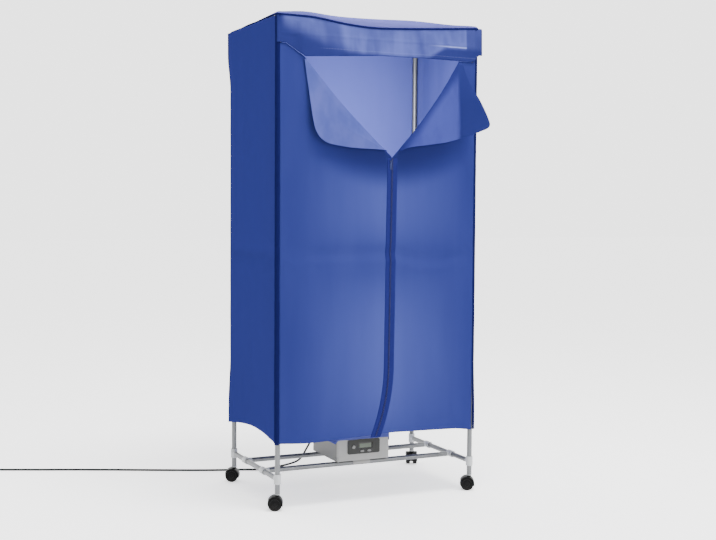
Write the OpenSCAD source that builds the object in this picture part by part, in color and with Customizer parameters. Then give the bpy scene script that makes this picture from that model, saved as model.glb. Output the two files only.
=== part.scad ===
// Portable drying cabinet: a wheeled tube frame in a cloth cover, with a fan heater
// under its floor. Millimetres, +Z up, +X to the right and -Y to the front.

/* [Frame] */
// Distance between the post centres, left to right
frame_w = 670; // [560:10:800]
// Distance between the post centres, front to back
frame_d = 413; // [360:1:520]
// Height of the top bars' centre line above the floor
frame_h = 1490; // [1350:10:1650]
// Height of the middle ring's centre line
mid_h = 775; // [650:5:880]
// Height of the base bars' centre line
base_h = 95; // [85:1:120]
// Height of the posts' lower ends
foot_h = 50; // [49.5:0.5:56]
// Outer diameter of the frame tubes
tube_d = 16; // [15:0.5:20]
// Wall thickness of the frame tubes
tube_wall = 1; // [0.8:0.1:1.4]
// Distance of each cross bar from the frame's middle
cross_y = 82; // [70:1:90]
// Drop of the hanging rail below the top bars
rail_drop = 35; // [30:1:60]

/* [Connectors] */
// Length of the plugs that go into the tubes
plug_len = 22; // [15:1:35]
// Wall of the sleeves round the tubes
sleeve_wall = 3; // [2:0.5:5]
// Length of the sleeves round the tubes
sleeve_len = 30; // [24:1:44]
// Reach of a connector's arm from the post centre to the end of the bar
arm_reach = 18; // [17:1:26]
// Half height of the middle connectors' body
hub_half = 12; // [10:1:20]
// Width of a rail bracket along the side bar
bracket_w = 24; // [22:1:36]
// Depth of a rail bracket along the rail
bracket_t = 21; // [18:1:30]
// Depth of the rail's socket in a bracket
socket_depth = 15; // [8:1:17]

/* [Casters] */
// Diameter of the caster wheels
wheel_d = 42; // [38:1:43]
// Width of one wheel of a pair
wheel_w = 13.2; // [10:0.2:16]
// Thickness of the hood's web between the wheels
web_t = 10.4; // [9.6:0.2:14]
// Distance that the wheels trail behind the stem
trail = 7; // [7:0.5:10]
// Thickness of the hood
hood_t = 2; // [1.5:0.1:2.4]
// Diameter of the caster stem
stem_d = 8; // [6:0.5:8]
// Height of the stem's lower end
stem_foot = 27; // [26:1:32]
// Depth of the stem in the post
stem_depth = 34; // [24:1:40]
// Diameter of the wheel axle
axle_d = 5; // [4:0.2:5]

/* [Cover] */
// Thickness of the cloth
cloth_t = 1.2; // [0.8:0.1:1.5]
// Gap between the tubes and the cloth
cloth_gap = 0.5; // [0.3:0.1:1]
// Height of the hem at the posts
hem_h = 209; // [190:1:240]
// Rise of the side hems between the posts
hem_arch = 24; // [10:1:34]
// How far the cloth bulges between the tubes
billow = 6; // [2:0.5:10]
// Rise of the roof in its middle
dome = 18; // [8:1:30]
// Height of the header flap over the front
header_drop = 101; // [80:1:120]
// How far the header's right end stands beyond the corner
header_over = 9; // [0:1:12]
// Rise of the header's lower edge at its ends
header_rise = 22; // [10:1:40]
// How much lower the header's lower edge hangs at the left end of the opening
header_sag = 17; // [0:1:24]
// Depth of the opening's lower point below the top bars
opening_drop = 412; // [300:1:480]
// Height that the cover's floor collar hangs round the heater
collar_h = 61; // [50:1:62]

/* [Zip] */
// Position of the zip's top, right of the middle
zip_x = 38.5; // [0:0.5:60]
// Sideways lean of the zip over its length
zip_lean = 10; // [0:1:14]
// Sideways sweep of the zip's lowest part
zip_sweep = 42; // [0:1:50]
// Height below which the zip sweeps aside
sweep_h = 420; // [300:5:500]
// Width of the tape on each side of the zip
tape_w = 17; // [12:0.5:18]
// Thickness of the tape
tape_t = 0.7; // [0.5:0.1:1]
// Length of the zip slider
slider_l = 16; // [14:1:20]
// Length of the slider's pull
pull_l = 26; // [20:1:36]

/* [Lapels] */
// Left end of the left fold, left of the middle
fold_left = 257; // [200:1:290]
// Right end of the right fold, right of the middle
fold_right = 272; // [220:1:290]
// Outward bow of both folds
fold_bow = 14; // [0:1:20]
// How far the left lapel's corner stands off
lift_left = 24; // [6:1:40]
// How far the right lapel's corner stands off
lift_right = 88; // [40:1:110]
// Height below the header over which the folded corners come away from the front
lapel_settle = 120; // [60:5:200]
// Height of the lapels' lower ends above the opening's lower point
lapel_foot = 18; // [3:1:40]
// Free corner of the left lapel, left of the middle
corner_left = 246; // [200:1:260]
// Depth of that corner below the header
corner_left_drop = 267; // [230:1:280]
// Free corner of the right lapel, right of the middle
corner_right = 330; // [290:1:336]
// Depth of that corner below the header
corner_right_drop = 214; // [190:1:240]
// Crease where the left lapel bends forward, left of the middle
crease_left = 180; // [140:1:200]
// Crease where the right lapel bends forward, right of the middle
crease_right = 262; // [240:1:280]

/* [Heater] */
// Width of the heater's housing
unit_w = 188; // [170:1:220]
// Depth of the heater's housing
unit_d = 209; // [190:1:230]
// Height of the heater's base tray
tray_h = 16; // [14:1:20]
// Height of the housing above the tray
shell_h = 128; // [120:1:160]
// Corner radius of the housing
unit_r = 12; // [8:1:18]
// Wall of the housing and of the tray
unit_wall = 2.5; // [2:0.1:3.2]
// Thickness of the pads under the heater
pad_t = 3; // [2:0.5:6]
// Width of the clips that hold the heater on the cross bars
clip_w = 60; // [40:1:80]
// Radius of the fan
fan_r = 57; // [48:1:58]
// Number of fan blades
fan_blades = 7; // [5:1:11]
// Radius of the outlet grille
grille_r = 66; // [62:1:70]
// Width of the front panel
panel_w = 113; // [108:1:124]
// Height of the front panel
panel_h = 46; // [44:1:50]
// Thickness of the front panel
panel_t = 3; // [2:0.5:4]
// Width of the display window
window_w = 48; // [40:1:52]
// Height of the display window
window_h = 20; // [16:1:22]
// Travel of the buttons
press = 1.2; // [0.6:0.1:1.5]

/* [Cord] */
// Diameter of the mains cord
cord_d = 7; // [6:0.5:8]
// Radius of the stored coil's outer turn
coil_r = 42; // [38:1:60]
// Distance between the coil's turns
coil_pitch = 7.6; // [7.5:0.1:10]
// Number of turns in the stored coil
coil_turns = 2.25; // [1.75:0.25:6]

/* [Hidden] */
$fn = 64;

// Clearances
fit = 0.05;         // running and plug fits, per side
press_gap = 0.02;   // pressed pins, per side
seat_gap = 0.3;     // cloth to cloth, and soft parts at rest
body_gap = 0.5;     // parts that pass each other

// Frame
tube_r = tube_d / 2;
bore_r = tube_r - tube_wall;
plug_r = bore_r - fit;
sleeve_r = tube_r + sleeve_wall;
rail_h = frame_h - rail_drop;
steel = "Gainsboro";
joint_grey = "WhiteSmoke";

// Casters
wheel_r = wheel_d / 2;
hood_r = wheel_r + 1 + hood_t;
hood_top = foot_h - 2.3;
flange_t = 2;
web_half = web_t / 2;
wheel_in = web_half + body_gap;
caster_black = "DimGray";
// Direction in which each caster trails, in degrees
caster_turn = [158, 152, 155, 68];

// Cover
skin = tube_r + cloth_gap;          // tube centre to the cloth's inner face
skin_out = skin + cloth_t;          // tube centre to the cloth's outer face
front_y = frame_d / 2 + skin_out;   // distance of the front's outer face from the middle
side_x = frame_w / 2 + skin_out;    // distance of a side's outer face from the middle
header_low = frame_h - header_drop;
door_top = header_low - 3.5;
apex_z = frame_h - opening_drop;
floor_z = hem_h + hem_arch + 3;
cloth_blue = [0.24, 0.33, 0.66];
cloth_light = [0.52, 0.57, 0.78];
cloth_navy = [0.07, 0.13, 0.38];

// Heater
unit_z = base_h + tube_r + pad_t;
shell_z = unit_z + tray_h;
unit_top = shell_z + shell_h;
panel_y = unit_d / 2 + panel_t;
panel_z = unit_z + 21.5 + panel_h / 2;
window_x = 6.5;
window_z = panel_z + 3;
board_gap = 4.4;
board_t = 1.6;
// Place and size of each button: across, up, width, height
power_place = [-36, panel_z, 11, 11];
timer_place = [-6, panel_z - 14.5, 13, 6];
mode_place = [19, panel_z - 14.5, 13, 6];
motor_r = 26;
motor_h = 34;
shaft_r = 2.5;
fan_h = 22;
fan_z = unit_z + unit_wall + motor_h + 2;
ledge_z = fan_z + fan_h + 26;
element_w = 130;
element_h = 18;
shell_light = [0.8, 0.8, 0.78];
shell_dark = [0.36, 0.36, 0.35];

// Cord: exit in the rear wall, route along the floor, coil and plug
cord_r = cord_d / 2;
exit_x = -60;
exit_z = unit_z + 29;
relief_l = 36;
coil_centre = [-1093, 648];
coil_start = 67;
coil_steps = 24;
tail_l = 34;
plug_axis = 12.1;
lead_l = 8;
route = [
    [-60, 140.5, 135], [-60, 150, 135], [-62, 168, 130], [-66, 190, 114],
    [-72, 210, 88], [-80, 228, 60], [-90, 243, 42], [-107, 257, 31],
    [-132, 273, 22], [-160, 289, 14], [-187, 304, 8], [-214, 320, 4.5],
    [-241, 336, 3.5], [-283, 351, 3.5], [-325, 364, 3.5], [-380, 384, 3.5],
    [-440, 409, 3.5], [-510, 440, 3.5], [-580, 472, 3.5], [-655, 507, 3.5],
    [-730, 540, 3.5], [-810, 575, 3.5], [-890, 608, 3.5], [-965, 640, 3.5],
    [-1020, 663.2, 3.5], [-1052, 676.6, 3.5]
];

// ---- Helpers ----

module at_posts() {
    for (sx = [-1, 1], sy = [-1, 1])
        translate([sx * frame_w / 2, sy * frame_d / 2, 0])
            children();
}

// Tube along Z, from its lower end
module tube(length) {
    difference() {
        cylinder(r = tube_r, h = length);
        translate([0, 0, -1]) cylinder(r = bore_r, h = length + 2);
    }
}

// Tube from one point along +X or +Y
module tube_x(length) rotate([0, 90, 0]) tube(length);
module tube_y(length) rotate([-90, 0, 0]) tube(length);

// Connector arm along Z: a stub as wide as the tube, and a plug inside it
module arm(stub) {
    cylinder(r = tube_r, h = stub);
    cylinder(r = plug_r, h = stub + plug_len);
}
module arm_x(dir) rotate([0, 90 * dir, 0]) arm(arm_reach);
module arm_y(dir) rotate([-90 * dir, 0, 0]) arm(arm_reach);

// Sleeve round a tube along Z, with an arm along +X for another tube
module tee() {
    difference() {
        union() {
            translate([0, 0, -sleeve_len / 2]) cylinder(r = sleeve_r, h = sleeve_len);
            rotate([0, 90, 0]) arm(arm_reach);
        }
        translate([0, 0, -sleeve_len]) cylinder(r = tube_r + fit, h = 2 * sleeve_len);
    }
}

module rounded_rect(w, d, r) {
    square([w - 2 * r, d], center = true);
    square([w, d - 2 * r], center = true);
    for (sx = [-1, 1], sy = [-1, 1])
        translate([sx * (w / 2 - r), sy * (d / 2 - r)]) circle(r);
}

module rounded_box(w, d, h, r) linear_extrude(h) rounded_rect(w, d, r);

// Thin solid between two grids of points. u runs along the rows, v along the columns,
// and the outer face looks along u x v.
module sheet(nu, nv, outer, inner) {
    n = (nu + 1) * (nv + 1);
    function id(i, j) = i * (nv + 1) + j;
    function quad(a, b, c, d) = [[a, b, c], [a, c, d]];
    points = concat(
        [for (i = [0:nu], j = [0:nv]) outer(i / nu, j / nv)],
        [for (i = [0:nu], j = [0:nv]) inner(i / nu, j / nv)]);
    quads = concat(
        [for (i = [0:nu - 1], j = [0:nv - 1])
            quad(id(i, j), id(i, j + 1), id(i + 1, j + 1), id(i + 1, j))],
        [for (i = [0:nu - 1], j = [0:nv - 1])
            quad(n + id(i, j), n + id(i + 1, j), n + id(i + 1, j + 1), n + id(i, j + 1))],
        [for (i = [0:nu - 1])
            quad(id(i, 0), id(i + 1, 0), n + id(i + 1, 0), n + id(i, 0))],
        [for (i = [0:nu - 1])
            quad(id(i + 1, nv), id(i, nv), n + id(i, nv), n + id(i + 1, nv))],
        [for (j = [0:nv - 1])
            quad(id(0, j + 1), id(0, j), n + id(0, j), n + id(0, j + 1))],
        [for (j = [0:nv - 1])
            quad(id(nu, j), id(nu, j + 1), n + id(nu, j + 1), n + id(nu, j))]);
    polyhedron(points = points, faces = [for (q = quads, t = q) t]);
}

// Swept tube: rings square to the path, turned so that no tangent meets the side vector
function unit(v) = v / norm(v);
function tangent(path, i) =
    unit(path[min(i + 1, len(path) - 1)] - path[max(i - 1, 0)]);
module swept_tube(path, r, sides, side_vector) {
    n = len(path);
    rings = [for (i = [0:n - 1])
        let (t = tangent(path, i), a = unit(cross(t, side_vector)), b = cross(t, a))
        for (k = [0:sides - 1])
            path[i] + r * (cos(360 * k / sides) * a + sin(360 * k / sides) * b)];
    function at(i, k) = i * sides + k % sides;
    walls = [for (i = [0:n - 2], k = [0:sides - 1])
        [[at(i, k), at(i + 1, k + 1), at(i, k + 1)],
         [at(i, k), at(i + 1, k), at(i + 1, k + 1)]]];
    polyhedron(points = rings, faces = concat(
        [[for (k = [0:sides - 1]) at(0, k)]],
        [[for (k = [sides - 1:-1:0]) at(n - 1, k)]],
        [for (w = walls, t = w) t]));
}

// Smooth curve through hand-chosen points
function spline(a, b, c, d, t) = 0.5 * (2 * b + (c - a) * t
    + (2 * a - 5 * b + 4 * c - d) * t * t + (3 * b - a - 3 * c + d) * t * t * t);
function smooth_path(p, steps) = concat(
    [for (i = [0:len(p) - 2], k = [0:steps - 1])
        spline(p[max(i - 1, 0)], p[i], p[i + 1], p[min(i + 2, len(p) - 1)], k / steps)],
    [p[len(p) - 1]]);
function ease(t) = let (s = max(0, min(1, t))) s * s * (3 - 2 * s);

// ---- Frame ----

module lower_posts() {
    color(steel) at_posts()
        translate([0, 0, foot_h]) tube(mid_h - hub_half - foot_h);
}

module upper_posts() {
    color(steel) at_posts()
        translate([0, 0, mid_h + hub_half]) tube(frame_h - mid_h - 2 * hub_half);
}

module side_bars(height) {
    for (sx = [-1, 1])
        translate([sx * frame_w / 2, arm_reach - frame_d / 2, height])
            tube_y(frame_d - 2 * arm_reach);
}

module long_bars(height, y) {
    for (sy = [-1, 1])
        translate([arm_reach - frame_w / 2, sy * y, height])
            tube_x(frame_w - 2 * arm_reach);
}

module base_side_bars() color(steel) side_bars(base_h);
module mid_side_bars() color(steel) side_bars(mid_h);
module top_side_bars() color(steel) side_bars(frame_h);
module base_cross_bars() color(steel) long_bars(base_h, cross_y);
module mid_long_bars() color(steel) long_bars(mid_h, frame_d / 2);
module top_long_bars() color(steel) long_bars(frame_h, frame_d / 2);

// Eight like sleeves: four on the posts, and four on the base side bars
module tee_connectors() {
    color(joint_grey) {
        for (sx = [-1, 1], sy = [-1, 1]) {
            translate([sx * frame_w / 2, sy * frame_d / 2, base_h])
                rotate([0, 0, -90 * sy]) tee();
            translate([sx * frame_w / 2, sy * cross_y, base_h])
                rotate([90, 0, sx > 0 ? 180 : 0]) tee();
        }
    }
}

module mid_connectors() {
    color(joint_grey)
        for (sx = [-1, 1], sy = [-1, 1])
            translate([sx * frame_w / 2, sy * frame_d / 2, mid_h]) {
                arm(hub_half);
                mirror([0, 0, 1]) arm(hub_half);
                arm_x(-sx);
                arm_y(-sy);
            }
}

module top_connectors() {
    color(joint_grey)
        for (sx = [-1, 1], sy = [-1, 1])
            translate([sx * frame_w / 2, sy * frame_d / 2, frame_h]) {
                sphere(tube_r);
                mirror([0, 0, 1]) arm(hub_half);
                arm_x(-sx);
                arm_y(-sy);
            }
}

rail_end = frame_w / 2 - bracket_t - 1 + socket_depth;
module hanging_rail() {
    color(steel)
        translate([-rail_end, 0, rail_h]) tube_x(2 * rail_end);
}

// Blocks that hang on the top side bars and hold the rail's ends
module rail_brackets() {
    color(joint_grey)
        for (sx = [-1, 1]) difference() {
            translate([sx * (frame_w / 2 - 1 - bracket_t / 2), 0, 0])
                linear_extrude_between(rail_h - tube_r - 4, frame_h + tube_r / 2)
                    square([bracket_t, bracket_w], center = true);
            translate([sx * frame_w / 2, -bracket_w, frame_h])
                rotate([-90, 0, 0]) cylinder(r = tube_r + fit, h = 2 * bracket_w);
            translate([0, 0, rail_h]) rotate([0, 90 * sx, 0])
                cylinder(r = tube_r + fit, h = rail_end + fit);
        }
}

module linear_extrude_between(z0, z1)
    translate([0, 0, z0]) linear_extrude(z1 - z0) children();

// ---- Casters ----

// 0 front left, 1 front right, 2 rear left, 3 rear right
module at_caster(i) {
    translate([(i % 2 == 0 ? -1 : 1) * frame_w / 2, (i < 2 ? -1 : 1) * frame_d / 2, 0])
        rotate([0, 0, caster_turn[i]]) children();
}

module on_axle() translate([trail, 0, wheel_r]) rotate([90, 0, 0]) children();

module caster_sockets() {
    color(joint_grey) at_posts() difference() {
        union() {
            translate([0, 0, foot_h - flange_t]) cylinder(r = tube_r + 0.6, h = flange_t);
            translate([0, 0, foot_h]) cylinder(r = plug_r, h = stem_depth + 4);
        }
        translate([0, 0, foot_h - flange_t - 1])
            cylinder(r = stem_d / 2 + fit, h = stem_depth + 10);
    }
}

module caster_hood(i) {
    color(caster_black) at_caster(i) difference() {
        union() {
            intersection() {
                on_axle() difference() {
                    cylinder(r = hood_r, h = 2 * (wheel_in + wheel_w) + 1, center = true);
                    cylinder(r = hood_r - hood_t, h = 99, center = true);
                }
                translate([trail, 0, wheel_r]) rotate([0, -20, 0])
                    linear_extrude_between(1, 60) square(120, center = true);
            }
            intersection() {
                on_axle() cylinder(r = hood_r - hood_t / 2, h = web_t, center = true);
                linear_extrude_between(wheel_r - 8, 60) square(120, center = true);
            }
            linear_extrude_between(wheel_d + 1, hood_top) circle(7);
        }
        linear_extrude_between(stem_foot, 60) circle(stem_d / 2 + press_gap);
        on_axle() cylinder(r = axle_d / 2 + press_gap, h = web_t + 2, center = true);
    }
}

module caster_pins(i) {
    color("Silver") at_caster(i) {
        linear_extrude_between(stem_foot, foot_h + stem_depth) circle(stem_d / 2);
        on_axle() cylinder(r = axle_d / 2, h = 2 * (wheel_in + wheel_w - 3), center = true);
    }
}

module caster_wheels(i) {
    bevel = 1.5;
    dish = 2.5;
    cap = 2.4;
    profile = [
        [axle_d / 2 + fit, 0], [wheel_r - bevel, 0], [wheel_r, bevel],
        [wheel_r, wheel_w - bevel], [wheel_r - bevel, wheel_w], [wheel_r - 5, wheel_w],
        [wheel_r - 6, wheel_w - dish], [8, wheel_w - dish], [7, wheel_w], [0, wheel_w],
        [0, wheel_w - cap], [axle_d / 2 + fit, wheel_w - cap]
    ];
    color("Black") at_caster(i) on_axle()
        for (side = [0, 1]) mirror([0, 0, side])
            translate([0, 0, wheel_in]) rotate_extrude() polygon(profile);
}

module caster_hood_front_left() caster_hood(0);
module caster_hood_front_right() caster_hood(1);
module caster_hood_rear_left() caster_hood(2);
module caster_hood_rear_right() caster_hood(3);
module caster_pins_front_left() caster_pins(0);
module caster_pins_front_right() caster_pins(1);
module caster_pins_rear_left() caster_pins(2);
module caster_pins_rear_right() caster_pins(3);
module caster_wheels_front_left() caster_wheels(0);
module caster_wheels_front_right() caster_wheels(1);
module caster_wheels_rear_left() caster_wheels(2);
module caster_wheels_rear_right() caster_wheels(3);

// ---- Cover ----

// Height of the bulge in each bay, above and below the middle ring
function bay(z) = z < mid_h
    ? sin(180 * max(0, (z - hem_h) / (mid_h - hem_h)))
    : sin(180 * min(1, (z - mid_h) / (frame_h - mid_h)));

// Bulge of the front at a point: one lobe on each side of the zip
function front_bulge(x, z) =
    let (c = split_x(min(z, apex_z)),
        s = x < c ? (x + frame_w / 2) / (c + frame_w / 2) : (frame_w / 2 - x) / (frame_w / 2 - c))
    billow * bay(z) * sin(180 * max(0, min(1, s)));

// Place of the split between the two front panels at a height
function split_x(z) = zip_x
    - zip_lean * (apex_z - z) / (apex_z - hem_h)
    - zip_sweep * pow(max(0, (sweep_h - z) / (sweep_h - hem_h)), 2);

// Edge of the opening at a height: dir is -1 for the left fold and 1 for the right
function fold_end(dir) = dir < 0 ? -fold_left : fold_right;
function fold_x(z, dir) =
    let (t = (z - apex_z) / (door_top - apex_z))
    zip_x + (fold_end(dir) - zip_x) * t + dir * fold_bow * sin(180 * t);

// How much higher the header's lower edge is at its ends, and lower above the left fold
function header_step(x) = header_rise
    * (max(0, min(1, (-x - fold_left) / 60)) + max(0, min(1, (x - frame_w / 2 + 8) / 18)))
    - header_sag * max(0, min(1, -x / fold_left, 1 + (x + fold_left) / 60));

function lerp(a, b, t) = a + (b - a) * t;

// Side panel of the cover; its hem rises between the posts
module side_panel(dir) {
    half = frame_d / 2;
    low = function(y) hem_h + hem_arch * sin(180 * (y + half) / (2 * half));
    face = function(v, w, depth) let (
        y = lerp(-half, half, v),
        z = lerp(low(y), frame_h, w))
        [dir * (frame_w / 2 + depth
            + billow * 0.7 * bay(z) * sin(180 * (y + half) / (2 * half))), y, z];
    if (dir > 0)
        sheet(8, 12, function(v, w) face(v, w, skin_out), function(v, w) face(v, w, skin));
    else
        sheet(8, 12, function(v, w) face(1 - v, w, skin_out),
            function(v, w) face(1 - v, w, skin));
}

module cover_left_panel() color(cloth_blue) side_panel(-1);
module cover_right_panel() color(cloth_blue) side_panel(1);

module cover_back_panel() {
    half = frame_w / 2;
    face = function(v, w, depth) let (
        x = lerp(half, -half, v),
        z = lerp(hem_h, frame_h, w))
        [x, frame_d / 2 + depth + billow / 2 * bay(z) * sin(180 * v), z];
    color(cloth_blue) sheet(10, 12,
        function(v, w) face(v, w, skin_out), function(v, w) face(v, w, skin));
}

// Roof: a low dome whose edges roll over the top bars
module cover_roof() {
    nu = 16;
    nv = 14;
    // Turn of the rolled edge per row, which ends just short of upright
    turn = 29.5;
    roll = function(i, n) turn * (i < 3 ? i - 3 : max(0, i - n + 3));
    flat = function(i, n) i < 3 ? -1 : i > n - 3 ? 1 : 2 * (i - 3) / (n - 6) - 1;
    face = function(u, v, depth) let (
        i = round(u * nu), j = round(v * nv),
        fx = flat(i, nu), fy = flat(j, nv),
        ax = roll(i, nu), ay = roll(j, nv))
        [fx * frame_w / 2 + depth * sin(ax), fy * frame_d / 2 + depth * sin(ay),
            frame_h + depth * min(cos(ax), cos(ay)) + dome * (1 - fx * fx) * (1 - fy * fy)];
    color(cloth_blue) sheet(nu, nv,
        function(u, v) face(u, v, skin_out), function(u, v) face(u, v, skin));
}

// Floor of the cover, with a collar that hangs round the heater
module cover_floor() {
    room = 1;
    color(cloth_blue) difference() {
        union() {
            linear_extrude_between(floor_z, floor_z + cloth_t)
                square([2 * (side_x - cloth_t - seat_gap), 2 * (front_y - cloth_t - seat_gap)],
                    center = true);
            linear_extrude_between(floor_z - collar_h, floor_z)
                rounded_rect(unit_w + 2 * (room + cloth_t), unit_d + 2 * (room + cloth_t),
                    unit_r + room + cloth_t);
        }
        linear_extrude_between(floor_z - collar_h - 1, floor_z + 9)
            rounded_rect(unit_w + 2 * room, unit_d + 2 * room, unit_r + room);
        at_posts() linear_extrude_between(floor_z - 1, floor_z + 9)
            square(2 * skin, center = true);
    }
}

// Flap that hangs from the front of the roof, over the top of the front panels
module header_flap() {
    left = -side_x;
    right = side_x + header_over;
    face = function(u, w, depth) let (
        x = lerp(left, right, u),
        z = lerp(header_low + header_step(x), frame_h + 2, w))
        [x, -(front_y + seat_gap + depth + front_bulge(x, z) + 2 * (1 - w)), z];
    color(cloth_blue) sheet(40, 4,
        function(u, w) face(u, w, cloth_t), function(u, w) face(u, w, 0));
}

// Strips that cover the four corners, where the panels are sewn together
module corner_piping() {
    color(cloth_navy)
        for (sx = [-1, 1], sy = [-1, 1])
            translate([sx * frame_w / 2, sy * frame_d / 2, 0])
                linear_extrude_between(hem_h, frame_h) difference() {
                    intersection() {
                        circle(skin_out);
                        scale_square(sx, sy);
                    }
                    circle(skin);
                }
}

// Square that fills one quarter of the plane round a corner
module scale_square(sx, sy)
    translate([sx * skin_out, sy * skin_out]) square(2 * skin_out, center = true);

// Half of the front, from the corner to the zip and the fold
module front_panel(dir) {
    low_rows = 16;
    rows = 22;
    face = function(u, w, depth) let (
        j = w * rows,
        t = max(0, (j - low_rows) / (rows - low_rows)),
        h = j <= low_rows ? lerp(hem_h, apex_z, j / low_rows) : lerp(apex_z, door_top, t),
        edge = j <= low_rows ? split_x(h) : fold_x(h, dir),
        a = dir * (frame_w / 2 - seat_gap),
        b = edge + dir * seat_gap,
        x = dir < 0 ? lerp(a, b, u) : lerp(b, a, u),
        z = h + t * header_step(dir < 0 ? min(x, -fold_left) : x))
        [x, -(frame_d / 2 + depth + front_bulge(x, z)), z];
    sheet(8, rows,
        function(u, w) face(u, w, skin_out), function(u, w) face(u, w, skin));
}

module front_panel_left() color(cloth_blue) front_panel(-1);
module front_panel_right() color(cloth_blue) front_panel(1);

// Folded corner of a front panel: corner is its free corner, across and up; crease is
// where it bends forward, and lift how far the corner stands off
module lapel(dir, corner, crease, lift) {
    head = [fold_end(dir) + dir * 3, door_top - 1 + header_step(fold_end(dir))];
    foot = lerp([zip_x + dir * 3, apex_z], head, lapel_foot / (head[1] - apex_z));
    blunt = 0.93;
    settle = function(z) min(1, (head[1] - z) / lapel_settle);
    off = function(x, z, t) front_bulge(x, z) + seat_gap + 0.05
        + lift * 0.12 * t + lift * 0.88 * settle(z) * max(0, dir * (x - crease))
            / (dir * (corner[0] - crease));
    face = function(u, w, depth) let (
        t = w * blunt,
        low = lerp(foot, corner, t),
        high = lerp(head, corner, t),
        bow = fold_bow * sin(180 * u) * (1 - t),
        p = lerp(low, high, u),
        x = p[0] + dir * bow)
        [x, -(front_y + depth + off(x, p[1], t)), p[1]];
    if (dir > 0)
        sheet(8, 8, function(w, u) face(u, w, cloth_t), function(w, u) face(u, w, 0));
    else
        sheet(8, 8, function(w, u) face(u, 1 - w, cloth_t), function(w, u) face(u, 1 - w, 0));
}

module lapel_left() color(cloth_light)
    lapel(-1, [-corner_left, door_top - corner_left_drop], -crease_left, lift_left);
module lapel_right() color(cloth_light)
    lapel(1, [corner_right, door_top - corner_right_drop], crease_right, lift_right);

// Zip tape on one side of the split, on the face of the front panel
module zip_tape(dir) {
    face = function(u, w, depth) let (
        z = lerp(hem_h, apex_z - 3, w),
        s = split_x(z),
        x = dir < 0 ? lerp(s - tape_w, s - seat_gap, u) : lerp(s + seat_gap, s + tape_w, u))
        [x, -(front_y + seat_gap + depth + front_bulge(x, z)), z];
    sheet(2, 24, function(u, w) face(u, w, tape_t), function(u, w) face(u, w, 0));
}

module zip_tape_left() color(cloth_navy) zip_tape(-1);
module zip_tape_right() color(cloth_navy) zip_tape(1);

// Zip slider on the left tape, with the eye of its pull between two lugs
slider_w = 8.4;
slider_t = 2.4;
slider_y = -(front_y + 2 * seat_gap + tape_t + 0.9);
slider_x = zip_x - seat_gap - slider_w / 2 - 0.4;
pivot_z = apex_z - 12;
pin_r = 0.8;
eye_r = 1.6;
pivot_y = slider_y - slider_t - eye_r - 0.3;
lug_x = 2.1;

module at_slider() translate([slider_x, 0, 0]) children();

module zip_slider() {
    color("SlateGray") at_slider() difference() {
        union() {
            translate([0, slider_y, pivot_z - slider_l + 5]) rotate([90, 0, 0])
                linear_extrude(slider_t)
                    translate([0, slider_l / 2]) rounded_rect(slider_w, slider_l, 2);
            for (s = [-1, 1])
                translate([s * (lug_x + 0.8), pivot_y, pivot_z]) rotate([0, 90, 0]) {
                    cylinder(r = 1.9, h = 1.6, center = true);
                    translate([-1.9, 0, -0.8]) cube([3.8, eye_r + 0.8, 1.6]);
                }
        }
        translate([0, pivot_y, pivot_z]) rotate([0, 90, 0])
            cylinder(r = pin_r + fit, h = 12, center = true);
    }
}

module zip_pull() {
    color("SlateGray") at_slider() translate([0, pivot_y, pivot_z]) {
        rotate([0, 90, 0]) cylinder(r = pin_r, h = 2 * lug_x + 3.2, center = true);
        rotate([0, 90, 0]) cylinder(r = eye_r, h = 2 * lug_x - 0.4, center = true);
        translate([0, -0.6, -pull_l]) rotate([-90, 0, 0]) mirror([0, 1, 0])
            linear_extrude(1.2) difference() {
                union() {
                    translate([-1.9, 8]) square([3.8, pull_l - 8]);
                    translate([0, pull_l / 3]) rounded_rect(7, pull_l * 2 / 3, 2.5);
                }
                translate([0, 5]) circle(1.6);
            }
    }
}

// ---- Heater ----

// Clips round the cross bars, with a pad on which the heater stands
module saddle_clips() {
    clip_r = tube_r + 2.4;
    color(shell_light)
        for (sy = [-1, 1]) translate([0, sy * cross_y, base_h]) difference() {
            union() {
                rotate([0, 90, 0]) cylinder(r = clip_r, h = clip_w, center = true);
                linear_extrude_between(0, tube_r + pad_t)
                    square([clip_w, 2 * tube_r], center = true);
            }
            rotate([0, 90, 0]) cylinder(r = tube_r + fit, h = clip_w + 2, center = true);
            linear_extrude_between(-2 * clip_r, -tube_r / 2)
                square([clip_w + 2, 4 * clip_r], center = true);
        }
}

post_x = unit_w / 2 - 8;
post_y = unit_d / 2 - 8;
module at_screws() {
    for (sx = [-1, 1], sy = [-1, 1]) translate([sx * post_x, sy * post_y, 0]) children();
}

// Tray with the air inlet slots and the motor's seat
module heater_base() {
    color(shell_light) difference() {
        union() {
            linear_extrude_between(unit_z, shell_z) difference() {
                rounded_rect(unit_w, unit_d, unit_r);
                rounded_rect(unit_w - 2 * unit_wall, unit_d - 2 * unit_wall,
                    unit_r - unit_wall);
            }
            linear_extrude_between(unit_z, unit_z + unit_wall)
                rounded_rect(unit_w - unit_wall, unit_d - unit_wall, unit_r - unit_wall / 2);
            at_screws() linear_extrude_between(unit_z, shell_z) circle(5);
            linear_extrude_between(unit_z, unit_z + unit_wall + 4) difference() {
                circle(motor_r + fit + 2);
                circle(motor_r + fit);
            }
        }
        for (a = [0:20:340]) rotate([0, 0, a])
            linear_extrude_between(unit_z - 1, unit_z + unit_wall + 1)
                translate([motor_r + 5, -2]) square([fan_r - motor_r - 7, 4]);
        at_screws() linear_extrude_between(unit_z - 1, shell_z + 1) circle(1.7);
    }
}

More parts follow.
